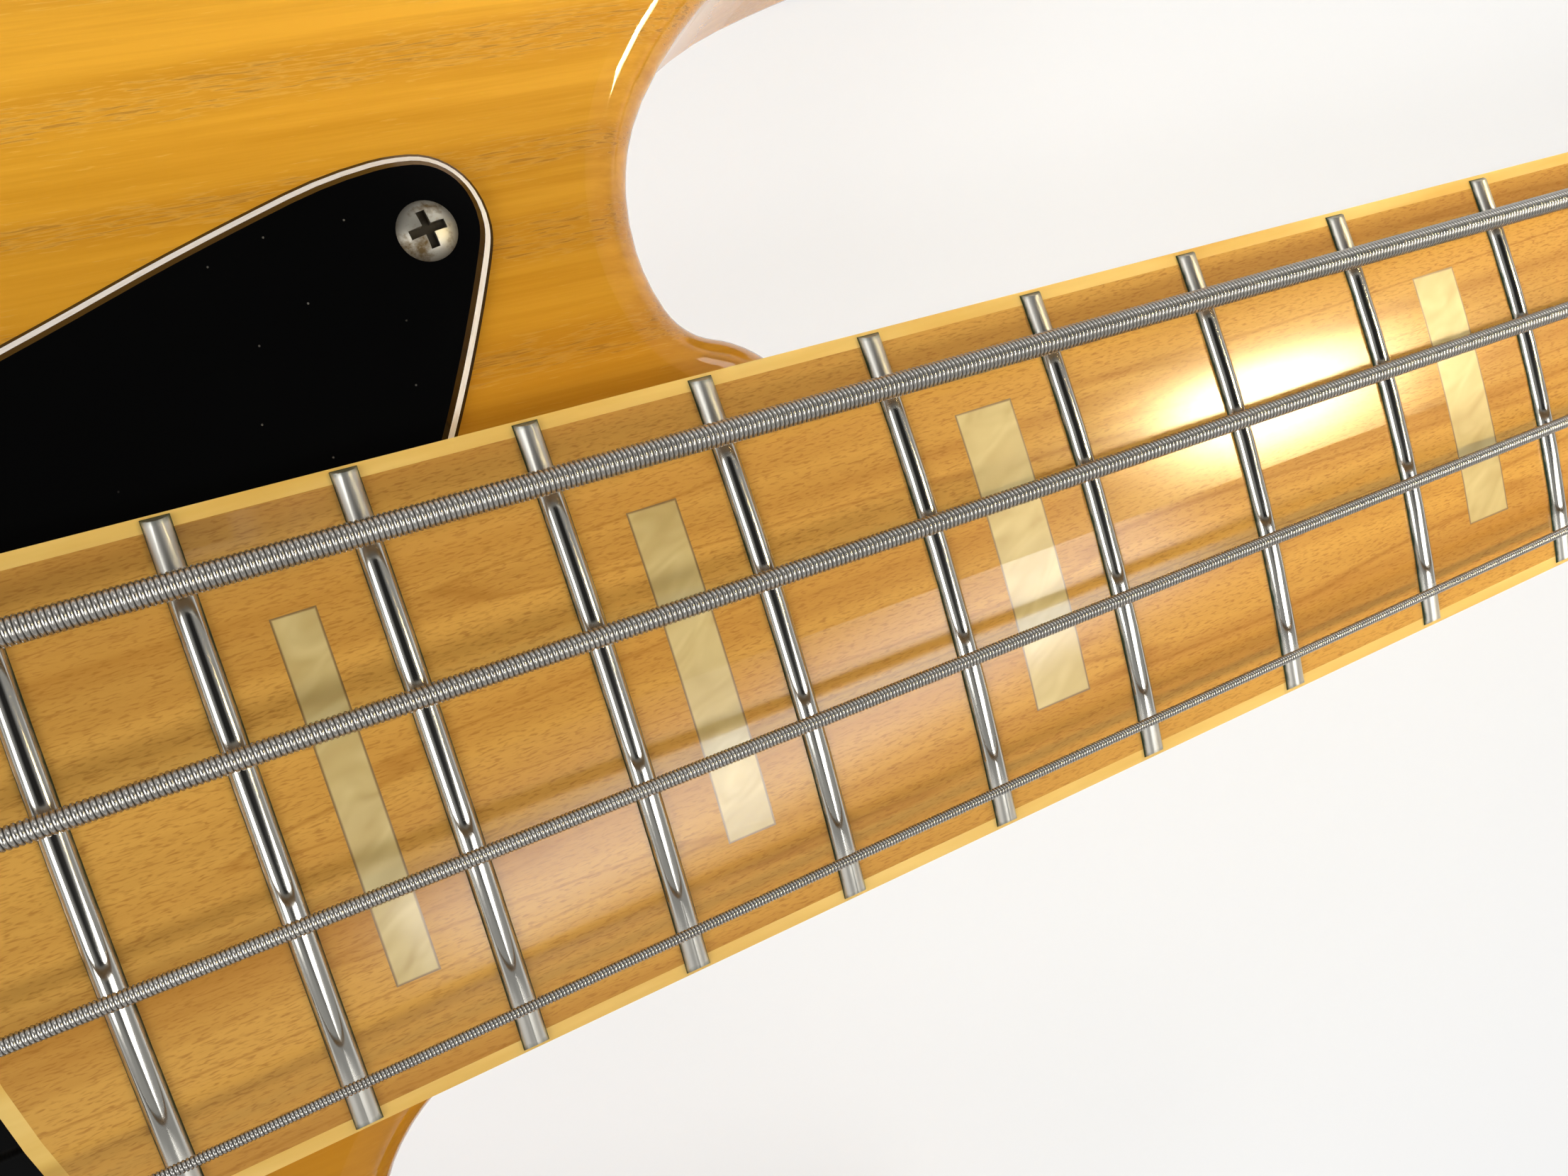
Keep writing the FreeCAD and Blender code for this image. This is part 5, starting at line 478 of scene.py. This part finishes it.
def wound_skin(line, radius, pitch, rows, columns):
    """Skin of a wound string. Vertex (i, j) lies pitch * (i / rows + j / columns) along the line and j / columns of a
    turn round it, so each row i runs on along the wire's helix. Its distance from the line follows the wire's round
    back, which is the root of half a pitch squared less the squared distance from the middle of the turn."""
    along = np.concatenate([[0], np.cumsum(np.linalg.norm(np.diff(line, axis=0), axis=1))])
    count = int((along[-1] - pitch) / pitch * rows)
    i, j = np.meshgrid(np.arange(count), np.arange(columns), indexing="ij")
    distance = pitch * (i / rows + j / columns)
    slopes = np.gradient(line, along, axis=0)
    centre = np.stack([np.interp(distance, along, line[:, a]) for a in range(3)], -1)
    forward = np.stack([np.interp(distance, along, slopes[:, a]) for a in range(3)], -1)
    forward /= np.linalg.norm(forward, axis=-1, keepdims=True)
    aside = np.cross((0.0, 0.0, 1.0), forward)
    aside /= np.linalg.norm(aside, axis=-1, keepdims=True)
    up = np.cross(forward, aside)
    from_middle = (i % rows) / rows - 0.5
    back = np.maximum(np.sqrt(0.25 - from_middle ** 2), groove_floor)
    out = radius - pitch / 2 + pitch * back
    angle = 2 * math.pi * j / columns
    skin = centre + out[..., None] * (np.cos(angle)[..., None] * aside + np.sin(angle)[..., None] * up)
    index = np.arange(count * columns).reshape(count, columns)
    inner = np.stack([index[:-1, :-1], index[:-1, 1:], index[1:, 1:], index[1:, :-1]], -1).reshape(-1, 4)
    a, b = index[:-1 - rows, -1], index[1:-rows, -1]
    seam = np.stack([a, index[rows:-1, 0], index[rows + 1:, 0], b], -1)
    first = np.concatenate([index[0], index[rows:0:-1, 0]])
    final = np.concatenate([index[-1], index[-2:-2 - rows:-1, -1]])
    points = np.vstack([skin.reshape(-1, 3), line[:1], centre[-1, -1:]])
    start, end = len(points) - 2, len(points) - 1
    caps = np.vstack([
        np.stack([np.full(len(first), start), np.roll(first, -1), first], -1),
        np.stack([np.full(len(final), end), final, np.roll(final, -1)], -1)])
    heights = np.concatenate([((back - groove_floor) / (0.5 - groove_floor)).ravel(), [0.5, 0.5]])
    return points, np.vstack([inner, seam]).tolist() + caps.tolist(), heights


def new_piece(name, points_mm, faces, material):
    """A smooth mesh object at the origin, from points in mm and faces of point numbers."""
    mesh = bpy.data.meshes.new(name)
    mesh.from_pydata(points_mm / 1000, [], faces)
    mesh.polygons.foreach_set("use_smooth", np.ones(len(mesh.polygons), bool))
    mesh.materials.append(material)
    piece = bpy.data.objects.new(name, mesh)
    bpy.context.scene.collection.objects.link(piece)
    return piece


wound_steel, tree, shader, place = new_finish("steel_roundwound", {"Metallic": 1.0})
ridge = node(tree, "Attribute", {}, attribute_name="ridge").outputs["Fac"]
ridge_share = ramp(tree, ridge, (0.05, 0.85))
tint = pattern(tree, "TexNoise", place, (0.012, 0.003, 0.003), {"Detail": 3.0})
backs = blend(tree, tint, "#c9c6c0", "#a8a39a")
# Painted shade: the colour goes near black down in each groove between turns, following the ridge height
painted_groove_shade = blend(tree, ridge_share, "#2a2723", backs)
groove = ramp(tree, ridge_share, (0.0, 1.0), (0.6, 0.26))
wire(tree, shader, {"Base Color": painted_groove_shade, "Roughness": groove})

# Each string's gauge and winding pitch in mm, the rows of points to a turn and the points round the string
gauges = {"string_e": (2.67, 0.51, 4, 11), "string_a": (2.16, 0.51, 4, 10),
          "string_d": (1.65, 0.405, 4, 8), "string_g": (1.14, 0.36, 3, 9)}
for number, (name, (gauge, pitch, rows, columns)) in enumerate(gauges.items(), 1):
    points, faces, ridges = wound_skin(string_line(number, gauge / 2), gauge / 2, pitch, rows, columns)
    string = new_piece(f"wound_{name}", points, faces, wound_steel)
    string.data.attributes.new("ridge", "FLOAT", "POINT").data.foreach_set("value", ridges)
    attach(string, "instrument")
    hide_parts(name)

# Ball ends: a little brass spool is twisted into the tail of each string and pulls against the bridge wall.
# Turned brass, dulled, with a waist that the loop of string sits in and a hole through it.
brass = metal("brass_dull", "#b7965a", "#84683a", 0.3, 0.5, 2)
spool_half_mm, spool_middle_mm, spool_wall_mm = 2.5, 1.75, 0.85
waist_depth, squareness, spool_back_mm = 0.45, 0.6, 2.6
around_steps, section_steps = 32, 20
points_per_spool = around_steps * section_steps

# The wall's section is a rounded oblong, whose sine and cosine are raised to a power below one. Its outer side is
# drawn in at the waist by the fourth power of a cosine along the spool.
around, section = np.meshgrid(np.linspace(0, 2 * math.pi, around_steps, endpoint=False),
                              np.linspace(0, 2 * math.pi, section_steps, endpoint=False), indexing="ij")
spool_y = spool_half_mm * np.sign(np.sin(section)) * np.abs(np.sin(section)) ** squareness
spool_wall = spool_wall_mm * np.sign(np.cos(section)) * np.abs(np.cos(section)) ** squareness
waist = waist_depth * np.clip(spool_wall, 0, 1) * np.cos(math.pi * spool_y / (2 * spool_half_mm)) ** 4
spool_out = spool_middle_mm + spool_wall - waist
spool = np.stack([spool_out * np.cos(around), spool_y, spool_out * np.sin(around)], -1).reshape(-1, 3)
seats = np.array([
    [anchor_x_mm - spool_back_mm, string_y(n, bridge_mm), anchor_z_mm] for n in range(1, string_count + 1)])
spools = (seats[:, None] + spool).reshape(-1, 3)
cell = np.arange(points_per_spool).reshape(around_steps, section_steps)
ahead, beside, both = np.roll(cell, -1, 0), np.roll(cell, -1, 1), np.roll(cell, (-1, -1), (0, 1))
spool_cells = np.stack([cell, ahead, both, beside], -1).reshape(-1, 4)
spool_faces = (np.arange(len(seats))[:, None, None] * points_per_spool + spool_cells).reshape(-1, 4)
ball_ends = new_piece("string_ball_ends", spools, spool_faces.tolist(), brass)
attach(ball_ends, "instrument")

# Retainer: a chromed disc on a short stem, screwed to the headstock, that presses the two thin strings down.
# It mirrors the room as the other chrome does.
dress(chrome, "string_retainer")

# Tuners: each post turns in a ferrule and a base plate, driven through a worm by a flat oval key.
# All of it is chromed or nickelled steel, a little duller on the keys where fingers turn them.
dress(chrome, "tuner_ferrules", "tuner_plates", "tuner_post_e", "tuner_post_a", "tuner_post_d", "tuner_post_g")
key_nickel = metal("nickel_handled", "#d6d3ca", "#b2ad9f", 0.1, 0.34, 8)
dress(key_nickel, "tuner_key_e", "tuner_key_a", "tuner_key_d", "tuner_key_g")
dress(nickel, "tuner_plate_screws")

# Strap buttons: turned steel buttons screwed to the tail and to the long horn, to take the strap's ends.
# They are chromed like the bridge plate.
dress(chrome, "strap_buttons")

# Floor: a wide sheet of matt white paper just under the instrument, which lies on its back.
# It shows nearly white to the camera and in mirrors, and keeps a faint shadow.
floor_gap, floor_half_mm, floor_glow = 0.0004, 6000.0, 0.82
backdrop_white = linear("#f8f8f8")
floor_z = cad_box[0].z - floor_gap
floor_corners = np.array([[-1, -1, 0], [1, -1, 0], [1, 1, 0], [-1, 1, 0]]) * floor_half_mm
paper, tree, shader, _ = new_finish("paper_sweep_white", {
    "Base Color": linear("#eeeeec"), "Roughness": 0.9, "Specular IOR Level": 0.1})
light_path = node(tree, "LightPath", {})
seen_or_mirrored = calc(tree, "MAXIMUM", light_path.outputs["Is Camera Ray"], light_path.outputs["Is Glossy Ray"])
seen_or_through = calc(tree, "MAXIMUM", seen_or_mirrored, light_path.outputs["Is Transmission Ray"])
white_share = calc(tree, "MULTIPLY", seen_or_through, floor_glow)
white = node(tree, "Emission", {"Color": backdrop_white, "Strength": 1.0})
lit = node(tree, "MixShader", {0: white_share, 1: shader, 2: white})
tree.links.new(lit.outputs[0], tree.nodes["Material Output"].inputs["Surface"])
floor = new_piece("floor", floor_corners + (0, 0, floor_z * 1000), [[0, 1, 2, 3]], paper)

# World: a studio with pale walls and a dim ceiling, so that polished faces turned upwards stay dark.
# Its backdrop shows white to the camera, and to metal near the horizon.
world = bpy.data.worlds.new("studio")
bpy.context.scene.world = world
world.use_nodes = True
tree = world.node_tree
sky = node(tree, "SeparateXYZ", {"Vector": node(tree, "TexCoord", {}).outputs["Generated"]})
room_light = ramp(tree, sky.outputs["Z"], (0.84, 0.96), (0.38, 0.02))
room = node(tree, "Background", {"Color": room_light, "Strength": 1.0})
backdrop = node(tree, "Background", {"Color": backdrop_white, "Strength": 1.0})
sky_path = node(tree, "LightPath", {})
mirrored = calc(tree, "MAXIMUM", sky_path.outputs["Is Glossy Ray"], sky_path.outputs["Is Transmission Ray"])
low = ramp(tree, sky.outputs["Z"], (0.1, 0.3), (1.0, 0.0))
mirrored_low = calc(tree, "MULTIPLY", mirrored, low)
seen = calc(tree, "MAXIMUM", sky_path.outputs["Is Camera Ray"], mirrored_low)
shown = node(tree, "MixShader", {0: seen, 1: room, 2: backdrop})
tree.links.new(shown.outputs[0], tree.nodes["World Output"].inputs["Surface"])


# Lights: five soft boxes. The key is a long strip over the high-string side, which gives each string a soft shadow,
# and a rim box stands opposite. Three have a grid, which keeps their light in a pool: one behind the bridge, and two
# small warm ones that shine down the neck.
def soft_box(name, aim, azimuth, elevation, distance, size, watts, long_axis, tint="#ffffff", spread=180):
    """A rectangular lamp that faces the point aimed at, from a distance along a bearing, its long side near an axis.
    The spread in degrees is the grid's: 180 is none."""
    a, e = math.radians(azimuth), math.radians(elevation)
    out = Vector((math.cos(a) * math.cos(e), math.sin(a) * math.cos(e), math.sin(e)))
    lamp = bpy.data.lights.new(name, "AREA")
    lamp.shape = "RECTANGLE"
    lamp.size, lamp.size_y = size
    lamp.energy = watts
    lamp.color = linear(tint)[:3]
    lamp.spread = math.radians(spread)
    box = bpy.data.objects.new(name, lamp)
    across = (Vector(long_axis) - out * out.dot(Vector(long_axis))).normalized()
    turned = Matrix((across, out.cross(across), out)).transposed()
    box.matrix_world = Matrix.Translation(Vector(aim) + out * distance) @ turned.to_4x4()
    bpy.context.scene.collection.objects.link(box)


on_neck, on_joint, on_body = (0.57, 0, 0.03), (0.5, 0, 0.03), (0.2, 0.1, 0.03)
soft_box("key_box", on_joint, -56, 65.5, 0.68, (0.55, 0.13), 1.9, (0.95, 0.305, -0.06))
soft_box("glint_box", on_neck, 0, 50, 0.73, (0.05, 0.04), 0.025, (0, 1, 0), "#ffe0a6", 50)
soft_box("neck_box", on_neck, 0, 52, 1.0, (0.12, 0.12), 0.11, (0, 1, 0), "#ffe8ae", 20)
soft_box("tail_box", on_body, -165, 42, 0.77, (0.5, 0.3), 0.7, (0, 1, 0), "#ffffff", 70)
soft_box("rim_box", on_joint, 67, 34, 0.8, (0.56, 0.2), 1.1, (1, 0, 0))

# Camera: over the end of the board, looking down and turned a little, as the photograph was taken.
# Its place, axes and focal length agree with the places of the frets in the photograph.
film_width, image_width, focal_px = 36.0, 2212, 1892.8
camera_place = (0.37669, 0.02246, 0.16439)
lens = bpy.data.cameras.new("camera")
lens.sensor_fit = "HORIZONTAL"
lens.sensor_width = film_width
lens.lens = film_width * focal_px / image_width
lens.clip_start = 0.005
camera = bpy.data.objects.new("camera", lens)
right, up, back = (0.88569, -0.28584, 0.36586), (0.30895, 0.95106, -0.00488), (-0.34656, 0.11735, 0.93066)
camera_turn = Matrix((right, up, back)).transposed().to_4x4()
camera.matrix_world = Matrix.Translation(camera_place) @ camera_turn
bpy.context.scene.collection.objects.link(camera)
bpy.context.scene.camera = camera
bpy.context.scene.view_settings.view_transform = "Standard"
